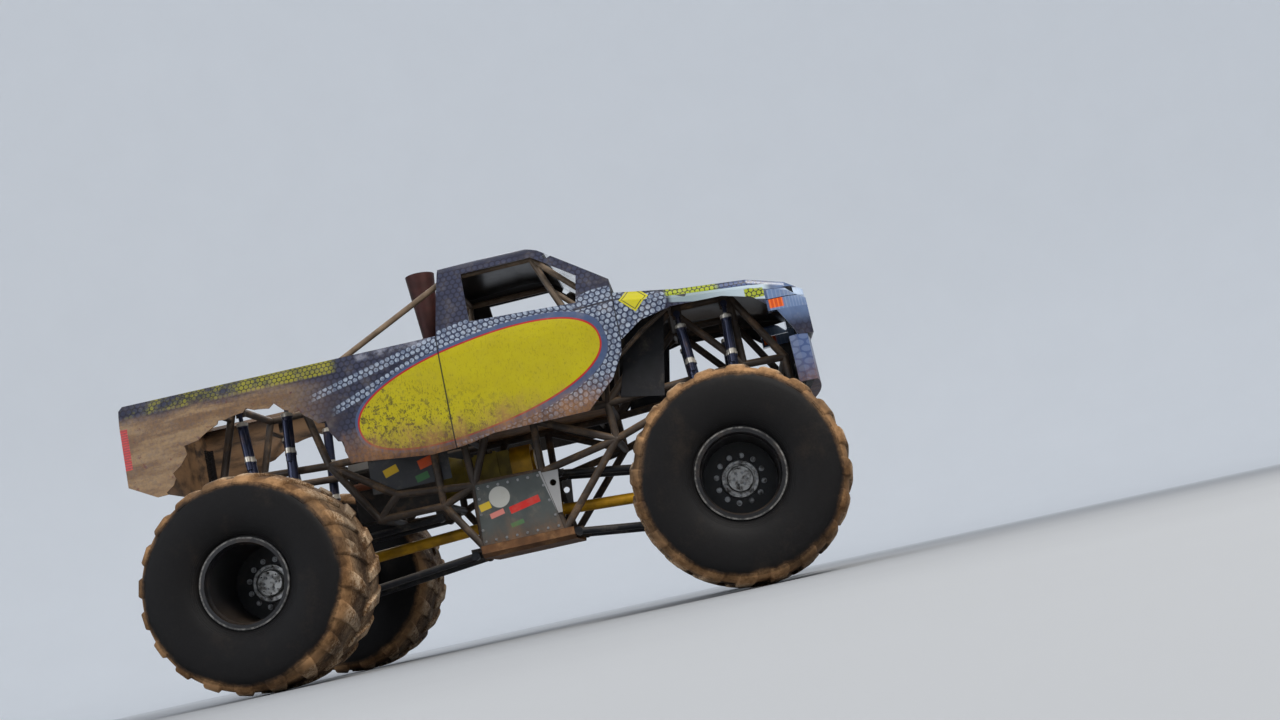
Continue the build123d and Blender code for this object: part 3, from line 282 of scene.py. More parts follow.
    def bump(self, height, strength, distance):
        values = (("Height", height), ("Strength", strength), ("Distance", distance))
        self.set("Normal", self.node("Bump", values).outputs[0])

    def finished(self, colour, rough, bump, coat=(0.0, 0.03)):
        """Material with a colour, arguments for rough and bump, and a coat's weight and roughness."""
        self.colour(colour)
        self.rough(*rough)
        self.bump(*bump)
        self.set("Coat Weight", coat[0])
        self.set("Coat Roughness", coat[1])
        return self.material


mud_tan = rgb(172, 130, 88)
dust_grey = rgb(150, 138, 122)


def dusted(look, base, dust, colour):
    """Base colour with dust on what faces up and in noisy patches."""
    patches = look.ramp(look.noise(6.0, 6.0, 0.62), 0.50, 0.72)
    fine = look.ramp(look.noise(60.0, 5.0, 0.7), 0.42, 0.70)
    up = look.ramp(look.normal_z, 0.1, 0.9)
    share = look.line((0.6, patches), (0.5, up))
    share = look.times(share, look.line((0.5, fine), 0.5))
    share = look.math("MULTIPLY", share, dust, clamp=True)
    return look.mix(share, base, colour), share


def metal_look(name, base, roughness, metallic=0.0, dust=0.6, tint=mud_tan, grain=80.0, depth=0.15):
    """Painted or bare metal with uneven tone, dust and a fine surface grain."""
    look = Look(name, roughness, metallic)
    tone = look.noise(9.0, 5.0)
    darker = tuple(c * 0.62 for c in base[:3]) + (1.0,)
    mixed = look.mix(look.ramp(tone, 0.35, 0.65), darker, base)
    mixed, share = dusted(look, mixed, dust, tint)
    return look.finished(mixed, (share, roughness, min(1.0, roughness + 0.35)),
                         (look.noise(grain, 4.0, 0.6), depth, 0.002))


def scales(look, u, v, spacing):
    """Round scales in a hexagonal layout: distance to the nearest centre, in spacings."""
    half = (spacing / 2, spacing * math.sqrt(3) / 2, 1.0)
    flat = look.vector(u, v)
    nearest = None
    for shift in ((0, 0, 0), (half[0], half[1], 0)):
        cell = look.vmath("WRAP", look.vmath("ADD", flat, shift), half, tuple(-v for v in half))
        length = look.vmath("LENGTH", cell)
        nearest = length if nearest is None else look.math("MINIMUM", nearest, length)
    return look.math("DIVIDE", nearest, spacing)


def oval_distance(look, centre, half_length, half_height, tilt, power=2.2):
    """Rough distance outside a full oval in the side view, negative inside."""
    along_end = (centre[0] + math.cos(tilt), centre[1] + math.sin(tilt))
    u, v = look.side_frame(centre, along_end)
    shares = [
        look.math("POWER", look.abs(look.math("DIVIDE", value, half)), power)
        for value, half in ((u, half_length), (v, half_height))
    ]
    reach = look.math("POWER", look.math("ADD", *shares), 1 / power)
    slope = look.length(look.times(u, half_length ** -2), look.times(v, half_height ** -2))
    return look.math("DIVIDE", look.times(reach, look.minus(reach, 1.0)), slope)


def mud_layers(look, paint, start, end, strength):
    """Dried mud that thickens from one height to another, in runs and fine grit."""
    wash = look.noise(3.0, 6.0, 0.62)
    runs = look.noise(7.0, 5.0, 0.6, stretch=(1.0, 1.0, 0.22))
    grit = look.noise(42.0, 6.0, 0.72)
    level = look.line((1.0, look.z), (-0.32, wash), (-0.22, runs), 0.27)
    film = look.ramp(level, start, end)
    film = look.times(film, look.line((0.45, look.ramp(grit, 0.35, 0.60)), 0.55))
    film = look.times(film, strength)
    mud = look.mix(look.ramp(runs, 0.35, 0.65), rgb(88, 60, 38), rgb(130, 92, 58))
    return look.mix(film, paint, mud), film, grit


# Artwork of the shell: places in the side view as (x, z), in metres
oval_centre, oval_tilt = (0.115, 2.06), math.radians(9.5)
oval_half_length, oval_half_height = 1.035, 0.36
door_front = 0.98                   # where the bands give way to the fender's scales
fender_cap, cap_radius = (1.30, 2.42), 0.22
diamond_centre, diamond_half = (1.475, 2.48), 0.125
crest_start, crest_end = (1.77, 2.478), (2.50, 2.412)       # edge of the hood over the flank
flank_start, flank_end = (1.885, 2.440), (2.489, 2.328)
hood_side = 0.66                    # half width of the hood, inside its edge trim
scale_ground = rgb(34, 40, 60)


def shell_ground(look, height):
    """Navy with faint scales over the whole shell."""
    paint = look.mix(look.noise(2.5, 3.0), rgb(18, 19, 34), rgb(29, 27, 43))
    cells = look.ramp(scales(look, look.x, height, 0.050), 0.44, 0.34)
    faint = look.times(cells, 0.36, look.ramp(look.noise(3.0), 0.30, 0.55))
    return look.mix(faint, paint, rgb(64, 70, 94))


def pale_scales(look, paint, side, oval):
    """Two bands of scales over the oval that run down into the bed, and scales ahead of the door."""
    scale_face = look.mix(look.ramp(look.noise(26.0, 5.0, 0.7), 0.35, 0.65), rgb(78, 88, 108),
                          rgb(142, 152, 166))
    behind = look.ramp(look.x, -0.16, -0.26)
    ahead = look.minus(1.0, behind)
    # Start and end of a band in the bed, height over the oval, half width, last x
    bands = (
        ((-1.115, 2.086), (-0.183, 2.421), 0.068, 0.044, -1.130),
        ((-1.295, 2.232), (-0.161, 2.504), 0.152, 0.042, -1.310),
    )
    for start, end, lift, half, last in bands:
        along, above = look.side_frame(start, end)
        follow = look.math("ADD", look.times(look.minus(oval, lift), ahead), look.times(above, behind))
        dot = look.ramp(scales(look, along, look.math("ADD", follow, 0.020), 0.047), 0.43, 0.35)
        narrow = look.line((-0.014, look.ramp(look.x, -0.3, last)), half)
        edge = look.minus(look.abs(follow), narrow)
        strip = look.times(look.ramp(edge, 0.004, -0.004), side, look.ramp(look.x, last, last + 0.12),
                           look.ramp(look.x, 1.05, 0.95))
        paint = look.mix(strip, paint, look.mix(dot, scale_ground, scale_face))

    # Scales over the door's front and the fender, up to a rounded end
    slant, rise = look.side_frame((0.0, 0.0), (1.0, 0.12))
    dot = look.ramp(scales(look, slant, rise, 0.050), 0.43, 0.35)
    end_cap = look.length(look.times(look.minus(look.x, fender_cap[0]), 0.50),
                          look.minus(look.z, fender_cap[1]))
    past_door = look.ramp(look.x, door_front - 0.04, door_front + 0.04)
    front = look.times(past_door, look.ramp(oval, 0.055, 0.065), side,
                       look.ramp(end_cap, cap_radius + 0.005, cap_radius - 0.005),
                       look.ramp(look.z, 2.64, 2.62))
    below = look.times(past_door, look.band(oval, 0.06, 0.24), side, look.ramp(look.z, 2.45, 2.43))
    front = look.most(front, below)
    paint = look.mix(front, paint, look.mix(dot, scale_ground, scale_face))
    dark_line = look.side_bar((door_front, 2.485), (1.70, 2.515), 0.009)
    return look.mix(look.times(dark_line, side), paint, rgb(26, 27, 40))


def plain_oval(look, paint, side, oval):
    """Yellow oval, its yellow darkened as painted shade over the side, with two outlines, blotched
    towards its lower rear end; also gives its mask.
    """
    steel = look.mix(look.noise(12.0), rgb(44, 56, 84), rgb(68, 82, 112))
    ring = look.line((0.024, look.ramp(look.x, -0.6, 0.9)), 0.034)
    paint = look.mix(look.times(look.ramp(look.minus(oval, ring), 0.003, -0.003), side), paint, steel)
    paint = look.mix(look.times(look.ramp(oval, 0.016, 0.012), side), paint, rgb(150, 26, 24))
    worn = look.ramp(look.line((1.0, look.x), (2.2, look.z)), 4.9, 3.5)
    speck = look.ramp(look.noise(75.0, 6.0, 0.78, stretch=(1.0, 1.0, 0.5)), 0.53, 0.62)
    blot = look.ramp(look.noise(22.0, 6.0, 0.75), 0.52, 0.59)
    # Painted shade: the yellow is darker than its own colour because the side lies in shade
    yellow = look.mix(look.noise(5.0, 4.0), rgb(146, 134, 0), rgb(166, 156, 0))
    yellow = look.mix(look.times(speck, look.line((0.60, worn), 0.32)), yellow, rgb(66, 56, 12))
    yellow = look.mix(look.times(blot, worn, 0.8), yellow, rgb(46, 38, 20))
    inside = look.times(look.ramp(oval, 0.002, -0.002), side)
    return look.mix(inside, paint, yellow), inside


def fender_art(look, paint, side, crest):
    """Plain diamond, silver flank over the front wheel, blue snout and a dark sweep off the hood."""
    diamond = look.math("ADD", look.abs(look.minus(look.x, diamond_centre[0])),
                        look.abs(look.minus(look.z, diamond_centre[1])))
    paint = look.mix(look.times(look.ramp(diamond, diamond_half + 0.003, diamond_half - 0.003), side),
                     paint, rgb(172, 164, 24))
    border = look.band(diamond, diamond_half - 0.029, diamond_half - 0.019)
    paint = look.mix(look.times(border, side), paint, rgb(60, 62, 40))
    _, lower_edge = look.side_frame(flank_start, flank_end)
    flank = look.times(look.ramp(crest, -0.038, -0.044), look.ramp(lower_edge, -0.10, -0.09),
                       look.ramp(look.x, 1.74, 1.79), look.ramp(look.x, 2.60, 2.52), side)
    silver = look.mix(look.ramp(look.x, 1.9, 2.4), rgb(122, 136, 142), rgb(158, 172, 180))
    snout = look.times(look.ramp(look.x, 2.48, 2.66), look.ramp(look.z, 1.95, 2.1), 0.85)
    paint = look.mix(snout, paint, look.mix(look.noise(9.0), rgb(66, 84, 118), rgb(94, 114, 148)))
    paint = look.mix(flank, paint, silver)
    sweep = look.side_bar((1.40, 2.70), (1.91, 2.43), 0.045)
    return look.mix(look.times(sweep, side), paint, rgb(24, 24, 38))


def hexagon_trim(look, paint, side, wide, height, crest):
    """Hexagons along the hood's edge, by the front arch and on the bed's worn rail."""
    cell = look.ramp(scales(look, look.x, height, 0.040), 0.47, 0.38)
    lime = look.mix(cell, rgb(28, 30, 20), rgb(138, 148, 22))
    blue = look.mix(cell, rgb(26, 30, 48), rgb(60, 74, 110))
    trim = look.times(look.ramp(crest, -0.046, -0.042), look.ramp(look.x, 1.72, 1.76),
                      look.ramp(wide, hood_side - 0.005, hood_side + 0.005))
    paint = look.mix(look.times(trim, look.ramp(look.x, 2.60, 2.50)), paint, blue)
    paint = look.mix(look.times(trim, look.ramp(look.x, 2.20, 2.12)), paint, lime)
    patch = look.times(look.band(look.x, 2.365, 2.520), look.band(look.z, 2.250, 2.335), side)
    paint = look.mix(patch, paint, lime)
    sheen = look.times(look.side_bar((-0.85, 2.500), (-0.20, 2.512), 0.03, 0.02),
                       look.ramp(look.noise(8.0, 5.0, 0.7), 0.35, 0.6), 0.5)
    paint = look.mix(sheen, paint, rgb(150, 152, 164))
    wear = look.line((0.9, look.noise(9.0, 6.0, 0.7)), (-0.16, look.x))
    rail = look.times(look.ramp(look.z, 2.405, 2.425), look.ramp(look.x, -1.00, -1.10),
                      look.ramp(wear, 0.92, 0.62))
    return look.mix(rail, paint, look.mix(cell, rgb(40, 36, 24), rgb(124, 120, 30)))


def body_paint():
    """Navy shell with bands of pale scales, a plain yellow oval, hexagon trim and dried mud."""
    look = Look("body_paint", 0.32)
    wide = look.abs(look.y)
    side = look.times(look.ramp(wide, 0.60, 0.66), look.ramp(look.normal_z, 0.985, 0.950))
    # The scales are laid out from the side, and from above on the roof and hood
    top = look.ramp(look.normal_z, 0.55, 0.7)
    height = look.line((1.0, look.times(look.z, look.minus(1.0, top))), (1.0, look.times(look.y, top)))
    oval = oval_distance(look, oval_centre, oval_half_length, oval_half_height, oval_tilt)
    _, crest = look.side_frame(crest_start, crest_end)
    paint = shell_ground(look, height)
    paint = pale_scales(look, paint, side, oval)
    paint, inside = plain_oval(look, paint, side, oval)
    paint = fender_art(look, paint, side, crest)
    paint = hexagon_trim(look, paint, side, wide, height, crest)

    # Dried mud, thickest along the lower edges and over the bed's rear
    paint, film, grit = mud_layers(look, paint, 1.93, 1.66, 0.92)
    streaks = look.noise(5.0, 6.0, 0.65, stretch=(0.35, 1.0, 1.6))
    rear = look.times(look.ramp(look.line((1.0, look.x), (0.5, streaks)), -0.72, -1.45),
                      look.ramp(look.line((1.0, look.z), (-0.15, streaks)), 2.38, 2.26), side,
                      look.line((0.35, look.ramp(grit, 0.35, 0.6)), 0.60))
    crust = look.mix(look.ramp(streaks, 0.40, 0.62), rgb(106, 80, 54), rgb(138, 112, 80))
    crust = look.mix(look.ramp(look.noise(16.0, 5.0, 0.7), 0.60, 0.68), crust, rgb(98, 56, 40))
    paint = look.mix(rear, paint, crust)
    dust = look.times(look.ramp(look.noise(11.0, 6.0, 0.7), 0.45, 0.75), look.line((-0.10, inside), 0.13))
    paint = look.mix(dust, paint, dust_grey)
    # Seams at the cab's rear and front edges
    seams = look.most(look.band(look.x, cab_rear - 0.006, cab_rear + 0.006, 0.002),
                      look.band(look.x, cab_front - 0.005, cab_front + 0.005, 0.002))
    paint = look.mix(look.times(seams, 0.9), paint, rgb(16, 15, 18))
    # Bare inner faces of the shell
    bare = look.mix(look.noise(14.0, 6.0, 0.7), rgb(18, 17, 18), rgb(40, 35, 31))
    bare = look.mix(look.times(look.ramp(look.x, -0.6, -1.2), look.ramp(streaks, 0.3, 0.6)), bare,
                    rgb(112, 86, 62))
    paint = look.mix(look.outside((0.0, 0.0, 2.0)), bare, paint)
    film = look.most(film, rear)
    relief = look.times(grit, look.most(film, 0.05))
    return look.finished(paint, (look.most(film, dust), 0.28, 0.85), (relief, 0.35, 0.003), (0.12, 0.15))


def bumper_paint():
    """Blue-grey bumper with faint scales, muddy along its foot and dark inside."""
    look = Look("bumper_paint", 0.32)
    paint = look.mix(look.noise(4.0), rgb(46, 58, 92), rgb(66, 84, 124))
    cells = look.ramp(scales(look, look.y, look.z, 0.06), 0.44, 0.36)
    paint = look.mix(look.times(cells, 0.25), paint, rgb(130, 144, 172))
    paint, film, grit = mud_layers(look, paint, 1.80, 1.50, 0.7)
    paint = look.mix(look.outside((2.2, 0.0, 1.75)), rgb(28, 26, 28), paint)
    return look.finished(paint, (film, 0.30, 0.85), (grit, 0.12, 0.002))


def tyre_rubber(corner, x):
    """Rubber of one wheel; the mud follows the distance from that wheel's axle line."""
    look = Look(f"tyre_rubber_{corner}", 0.75, specular=0.12)
    radius = look.wheel_radius(x)
    patch = look.noise(4.0, 6.0, 0.6)
    fine = look.noise(48.0, 6.0, 0.72)
    edge = look.line((1.0, radius), (0.09, patch), -0.045)
    tread = look.ramp(edge, 0.715, 0.762)
    crust = look.ramp(look.line((1.0, patch), (0.35, fine)), 0.48, 0.82)
    black = look.mix(fine, rgb(13, 12, 13), rgb(24, 23, 23))
    film = look.times(look.ramp(look.line((1.0, patch), (0.4, fine)), 0.72, 1.0), 0.16)
    black = look.mix(film, black, rgb(70, 58, 46))
    wide = look.abs(look.minus(look.abs(look.y), track_half))
    tan = look.mix(crust, rgb(104, 74, 46), rgb(156, 120, 84))
    # Pale cream on the lugs' tops and ends: dried crust with a painted highlight
    top_patches = look.ramp(look.line((0.7, fine), (0.5, patch)), 0.54, 0.70)
    crust_and_highlight_tops = look.times(look.ramp(radius, 0.790, 0.836), top_patches)
    tan = look.mix(look.times(crust_and_highlight_tops, 0.70), tan, rgb(216, 196, 168))
    # Painted shade: dark brown low in the grooves, in patches
    depth = look.line((1.0, radius), (0.07, look.ramp(wide, 0.30, 0.50)), -carcass_crown - 0.008)
    groove_shade_patches = look.line((0.40, look.ramp(fine, 0.62, 0.38)), 0.45)
    groove_shade = look.times(look.ramp(depth, 0.006, -0.004), groove_shade_patches)
    tan = look.mix(look.times(groove_shade, 0.75), tan, rgb(62, 44, 30))
    bare = look.ramp(look.noise(2.3, 4.0, 0.6), 0.60, 0.44)
    share = look.times(tread, look.line((0.28, crust), 0.70), look.line((0.55, bare), 0.45))
    look.colour(look.mix(share, black, tan))
    look.rough(share, 0.58, 0.95)
    ribs = look.math("SINE", look.times(radius, 520.0))
    ribs = look.times(ribs, look.band(radius, 0.365, 0.41, 0.006))
    look.bump(look.line((0.6, fine), (0.35, ribs)), 0.35, 0.006)
    return look.material


def patches(look, paint, bars):
    """Plain patches: start and end of a bar's middle line, half height, colour."""
    for start, end, half, colour in bars:
        paint = look.mix(look.side_bar(start, end, half), paint, colour)
    return paint


def panel_paint():
    """Grey side panel with plain coloured patches and a light gusset ahead of it."""
    look = Look("side_panel_paint", 0.45)
    tone = look.noise(7.0, 5.0)
    paint = look.mix(tone, rgb(52, 58, 58), rgb(84, 88, 86))
    paint = patches(look, paint, (
        ((0.085, 1.040), (0.345, 1.092), 0.030, rgb(190, 40, 34)),
        ((-0.160, 1.107), (-0.065, 1.126), 0.030, rgb(200, 170, 40)),
        ((-0.085, 1.025), (0.035, 1.050), 0.022, rgb(196, 120, 110)),
        ((0.070, 0.915), (0.180, 0.935), 0.018, rgb(60, 110, 70)),
    ))
    paint = look.mix(look.side_disc((0.02, 1.17), 0.088), paint, rgb(172, 172, 166))
    gusset = look.ramp(look.line((1.0, look.x), (0.24, look.z)), 0.692, 0.698)
    paint = look.mix(look.times(gusset, look.ramp(look.z, 0.93, 0.94)), paint, rgb(150, 150, 150))
    paint, share = dusted(look, paint, 0.55, dust_grey)
    paint, film, grit = mud_layers(look, paint, 1.02, 0.74, 0.8)
    return look.finished(paint, (look.most(share, film), 0.42, 0.9), (grit, 0.10, 0.002))


def side_sheet_paint():
    """Dark sheet below the bed with plain coloured patches."""
    look = Look("side_sheet_paint", 0.5)
    paint = look.mix(look.noise(7.0, 5.0), rgb(34, 36, 40), rgb(58, 58, 60))
    paint = patches(look, paint, (
        ((-0.900, 1.565), (-0.780, 1.600), 0.034, rgb(196, 160, 24)),
        ((-0.600, 1.578), (-0.470, 1.608), 0.040, rgb(196, 78, 34)),
        ((-0.640, 1.465), (-0.530, 1.490), 0.030, rgb(58, 104, 62)),
    ))
    paint, share = dusted(look, paint, 0.6, dust_grey)
    return look.finished(paint, (share, 0.45, 0.9), (look.noise(60.0, 4.0, 0.6), 0.1, 0.002))


def shock_finish(low, high):
    """Bright rod below, dark blue body above with bright rings."""
    look = Look("shock_steel", 0.32, 0.5)
    share = look.math("DIVIDE", look.minus(look.z, low), high - low)
    rod = look.ramp(share, 0.425, 0.415)
    rings = look.most(look.band(share, 0.435, 0.465), look.band(share, 0.665, 0.695))
    rings = look.most(rings, look.band(share, 0.890, 0.920))
    body = look.mix(look.noise(9.0), rgb(30, 34, 52), rgb(54, 58, 78))
    paint = look.mix(rod, body, rgb(168, 166, 164))
    paint = look.mix(rings, paint, rgb(196, 190, 178))
    paint, dust = dusted(look, paint, 0.45, mud_tan)
    return look.finished(paint, (dust, 0.28, 0.8), (look.noise(80.0, 4.0, 0.6), 0.06, 0.002))


def engine_finish():
    """Dark block, lighter rocker covers and rusty exhaust manifolds."""
    look = Look("engine_paint", 0.5, 0.25)
    wide = look.abs(look.y)
    paint = look.mix(look.noise(12.0, 5.0), rgb(40, 38, 38), rgb(74, 70, 66))
    paint = look.mix(look.times(look.ramp(look.z, 1.63, 1.66), look.ramp(wide, 0.19, 0.22)), paint,
                     rgb(128, 126, 120))
    pipes = look.times(look.ramp(wide, 0.295, 0.305), look.ramp(look.z, 1.60, 1.57))
    paint = look.mix(pipes, paint, rgb(112, 64, 42))
    paint, dust = dusted(look, paint, 0.6, mud_tan)
    return look.finished(paint, (dust, 0.42, 0.85), (look.noise(60.0, 5.0, 0.7), 0.2, 0.003))


def lamp_finish():
    """Clear headlamp with a dark rim, a painted reflection in its bowl and faint painted glints on its
    flutes, and an amber turn lamp under it.
    """
    look = Look("lamp_lens", 0.08)
    wide = look.abs(look.y)
    middle = lamps_low.z + 0.14
    bowl = look.length(look.times(look.minus(look.x, nose - 0.10), 0.8), look.minus(look.z, middle),
                       look.times(look.minus(wide, 0.76), 0.8))
    # Painted reflection of the bowl: light in the middle, darker blue towards its edge
    glass = look.mix(look.ramp(bowl, 0.16, 0.03), rgb(88, 108, 142), rgb(170, 186, 206))
    flutes = look.math("SINE", look.line((170.0, look.x), (170.0, look.y)))
    # Painted glints: faint near-white streaks along the flutes
    glass = look.mix(look.times(look.ramp(flutes, 0.2, 0.9), 0.06), glass, rgb(236, 240, 246))
    amber = look.mix(look.ramp(flutes, 0.0, 0.8), rgb(176, 66, 10), rgb(206, 96, 24))
    turn = look.times(look.band(look.z, lamps_low.z + 0.018, lamps_low.z + 0.095),
                     look.ramp(look.x, nose - 0.18, nose - 0.20))
    glass = look.mix(turn, glass, amber)
    rim = look.most(look.ramp(look.z, lamps_high.z - 0.018, lamps_high.z - 0.012),
                    look.ramp(look.x, lamps_low.x + 0.022, lamps_low.x + 0.016))
    glass = look.mix(rim, glass, rgb(58, 72, 102))
    glass = look.mix(look.times(look.ramp(look.noise(9.0, 6.0, 0.7), 0.5, 0.8), 0.4), glass, dust_grey)
    return look.finished(glass, (look.noise(14.0), 0.06, 0.2), (flutes, 0.04, 0.001), (0.7, 0.05))


def clear_sheet():
    """Thin clear plastic with a film of dust."""
    look = Look("clear_sheet", specular=0.5)
    film = look.ramp(look.noise(8.0, 5.0, 0.6), 0.45, 0.85)
    look.colour(look.mix(film, rgb(200, 206, 210), dust_grey))
    look.set("Alpha", look.line((0.30, film), 0.14))
    look.rough(film, 0.05, 0.35)
    return look.material


def tail_lens():
    look = Look("tail_lens", 0.18)
    ribs = look.math("SINE", look.times(look.z, 300.0))
    red = look.mix(look.ramp(ribs, 0.0, 0.9), rgb(128, 12, 10), rgb(176, 22, 16))
    red, share = dusted(look, red, 1.2, mud_tan)
    red = look.mix(look.outside((tail + 0.5, 0.0, 2.1)), rgb(24, 22, 22), red)
    return look.finished(red, (share, 0.15, 0.8), (ribs, 0.2, 0.002))


def hub_finish(name, base, metallic):
    """Machined steel with turned grooves and grime."""
    look = Look(name, 0.35, metallic)
    grime = look.ramp(look.noise(18.0, 6.0, 0.7), 0.45, 0.68)
    return look.finished(look.mix(look.times(grime, 0.7), base, rgb(70, 60, 50)), (grime, 0.30, 0.8),
                         (look.noise(120.0, 3.0, 0.6), 0.12, 0.001))


def rim_finish(corner, side, x):
    """Black dish with a painted highlight on its outer lip, broken up with scuffs, and mud dust deep
    inside.
    """
    look = Look(f"rim_paint_{corner}", 0.4)
    outboard = look.minus(look.times(look.y, float(side)), track_half)
    radius = look.wheel_radius(x)
    paint = look.mix(look.noise(12.0, 5.0), rgb(13, 13, 15), rgb(30, 29, 30))
    # Painted highlight on the outer lip: lighter grey in noisy patches that are partly scuffs
    lip_highlight_mask = look.times(look.ramp(radius, 0.329, 0.333), look.ramp(outboard, 0.44, 0.446))
    scuffed_highlight = look.ramp(look.noise(24.0, 6.0, 0.7), 0.40, 0.62)
    paint = look.mix(look.times(lip_highlight_mask, look.line((0.6, scuffed_highlight), 0.10)), paint, rgb(128, 126, 122))
    paint, share = dusted(look, paint, 0.35, rgb(110, 90, 70))
    return look.finished(paint, (share, 0.34, 0.85), (look.noise(70.0, 4.0, 0.6), 0.08, 0.002))


def pad_cloth():
    """Black woven seat cover with light stitching along its channels."""
    look = Look("seat_cloth", 0.85)
    weave = look.times(
        look.abs(look.math("SINE", look.times(look.y, 900.0))),
        look.abs(look.math("SINE", look.line((900.0, look.z), (900.0, look.x)))))
    cloth = look.mix(weave, rgb(20, 20, 23), rgb(46, 46, 52))
    look.colour(look.mix(look.times(look.ramp(look.noise(9.0), 0.45, 0.8), 0.3), cloth, dust_grey))
    look.bump(weave, 0.3, 0.001)
    look.set("Sheen Weight", 0.3)
    return look.material


def webbing():
    """Red woven harness strap."""
    look = Look("harness_webbing", 0.7)
    weave = look.abs(look.math("SINE", look.line((1100.0, look.z), (1100.0, look.x))))
    look.colour(look.mix(weave, rgb(104, 14, 14), rgb(156, 26, 24)))
    look.bump(weave, 0.3, 0.001)
    return look.material


def stage_finish():
    """Pale grey, painted darker near the truck where the lamps fall strongest and lighter towards the
    backdrop, so that the floor looks even.
    """
    look = Look("stage_floor", 0.95)
    far = look.vmath("LENGTH", look.place)
    # Painted shade near the truck, fading to pale grey by the backdrop
    pale = look.mix(look.ramp(far, 6.0, 30.0), rgb(142, 144, 147), rgb(238, 240, 242))
    look.colour(look.mix(look.times(look.noise(0.6, 3.0), 0.1), pale, rgb(190, 192, 195)))
    return look.material


def dress(obj, material):
    """One material over the whole object."""
    obj.data.materials.clear()
    obj.data.materials.append(material)


shock_low, shock_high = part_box("shock_absorbers")
bolt_steel = hub_finish("bolt_steel", rgb(150, 150, 150), 0.8)
hub_steel = hub_finish("hub_steel", rgb(176, 174, 170), 0.7)
grip_rubber = metal_look("grip_rubber", rgb(22, 22, 24), 0.75, dust=0.1, tint=dust_grey)
# Material, and the nodes that wear it
dressed = (
    (body_paint(), "body_cab body_bed body_front"),
    (bumper_paint(), "front_bumper"),
    (metal_look("tube_paint", rgb(66, 56, 48), 0.5, dust=0.9, tint=rgb(150, 118, 84)),
     "frame_main frame_front frame_rear"),
    (metal_look("cage_paint", rgb(112, 94, 76), 0.45, tint=rgb(156, 134, 108)), "roll_cage"),
    (metal_look("axle_iron", rgb(38, 38, 42), 0.6, dust=0.8),
     "front_axle rear_axle knuckle_fl knuckle_fr knuckle_rl knuckle_rr"),
    (metal_look("black_bar", rgb(26, 27, 32), 0.40, dust=0.5, tint=dust_grey), "suspension_links"),
    (metal_look("gold_paint", rgb(188, 140, 20), 0.40, 0.2, dust=0.45, tint=rgb(110, 78, 40)),
     "driveshafts transfer_case"),
    (metal_look("olive_paint", rgb(122, 104, 26), 0.5, dust=0.55, tint=rgb(96, 74, 44)), "gearbox"),
    (shock_finish(shock_low.z, shock_high.z), "shock_absorbers"),
    (metal_look("cylinder_paint", rgb(44, 46, 54), 0.4, 0.4, dust=0.4), "steering_barrels"),
    (metal_look("rod_chrome", rgb(196, 198, 204), 0.15, 1.0, dust=0.15, depth=0.02),
     "steering_rod_front steering_rod_rear"),
    (metal_look("skid_plate_paint", rgb(104, 70, 42), 0.7, dust=1.0, depth=0.5), "skid_plate"),
    (panel_paint(), "side_panels"),
    (hub_steel, "hub_fl hub_fr hub_rl hub_rr"),
    (metal_look("stack_steel", rgb(58, 26, 22), 0.55, 0.3, dust=0.2, tint=rgb(26, 16, 14)),
     "exhaust_stack"),
    (engine_finish(), "engine_block"),
    (metal_look("floor_sheet", rgb(156, 114, 70), 0.65), "cab_floor"),
    (metal_look("dark_plastic", rgb(26, 26, 30), 0.5, dust=0.4, tint=dust_grey),
     "grille dashboard driver_seat inner_fenders"),
    (grip_rubber, "steering_wheel"),
    (clear_sheet(), "windscreen"),
    (lamp_finish(), "front_lamps"),
    (tail_lens(), "tail_lamps"),
)
for material, node_names in dressed:
    for node_name in node_names.split():
        dress(nodes[node_name], material)
dress(bowl, stage_finish())


# Helpers for pieces
def add_piece(name, bm, body, material, sharp=35):
    """New object from a bmesh in the frame's coordinates, riding on a body."""
    bmesh.ops.recalc_face_normals(bm, faces=bm.faces)
    mesh = bpy.data.meshes.new(name)
    bm.to_mesh(mesh)
    bm.free()
    obj = bpy.data.objects.new(name, mesh)
    bpy.context.collection.objects.link(obj)
    dress(obj, material)
    for face in mesh.polygons:
        face.use_smooth = True
    mesh.set_sharp_from_angle(angle=math.radians(sharp))
    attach(obj, body)
    return obj


def skin(bm, rings, capped=True):
    """Faces between rings of vertices, with an end cap on the first and last ring."""
    count = len(rings[0])
    for here, there in zip(rings, rings[1:]):
        for j in range(count):
            k = (j + 1) % count
            bm.faces.new((here[j], here[k], there[k], there[j]))
    if capped:
        bm.faces.new(rings[0])
        bm.faces.new(list(reversed(rings[-1])))


def turned(bm, point, outward, sections, count=24):
    """Turned or many-sided piece on an axis, from (radius, height) sections."""
    outward = Vector(outward).normalized()
    across = outward.orthogonal().normalized()
    third = outward.cross(across)
    rings = []
    for radius, height in sections:
        ring = []
        for i in range(count):
            angle = 2 * math.pi * i / count
            reach = (across * math.cos(angle) + third * math.sin(angle)) * radius
            ring.append(bm.verts.new(Vector(point) + reach + outward * height))
        rings.append(ring)
    skin(bm, rings)


def bolt_heads(bm, places, size):
    """Six-sided bolt heads on washers, at (point, outward direction); size is the head's radius."""
    washer = [(1.5 * size, 0.0), (1.5 * size, 0.2 * size), (1.4 * size, 0.3 * size)]
    head = [(size, 0.2 * size), (size, 0.9 * size), (0.85 * size, 1.1 * size)]
    for point, outward in places:
        turned(bm, point, outward, washer, 12)
        turned(bm, point, outward, head, 6)


def slab(bm, low, high):
    """Flat sheet or bar between two corners."""
    rings = []
    for x in (low[0], high[0]):
        rings.append([bm.verts.new((x, y, z)) for y, z in (
            (low[1], low[2]), (high[1], low[2]), (high[1], high[2]), (low[1], high[2]))])
    skin(bm, rings)


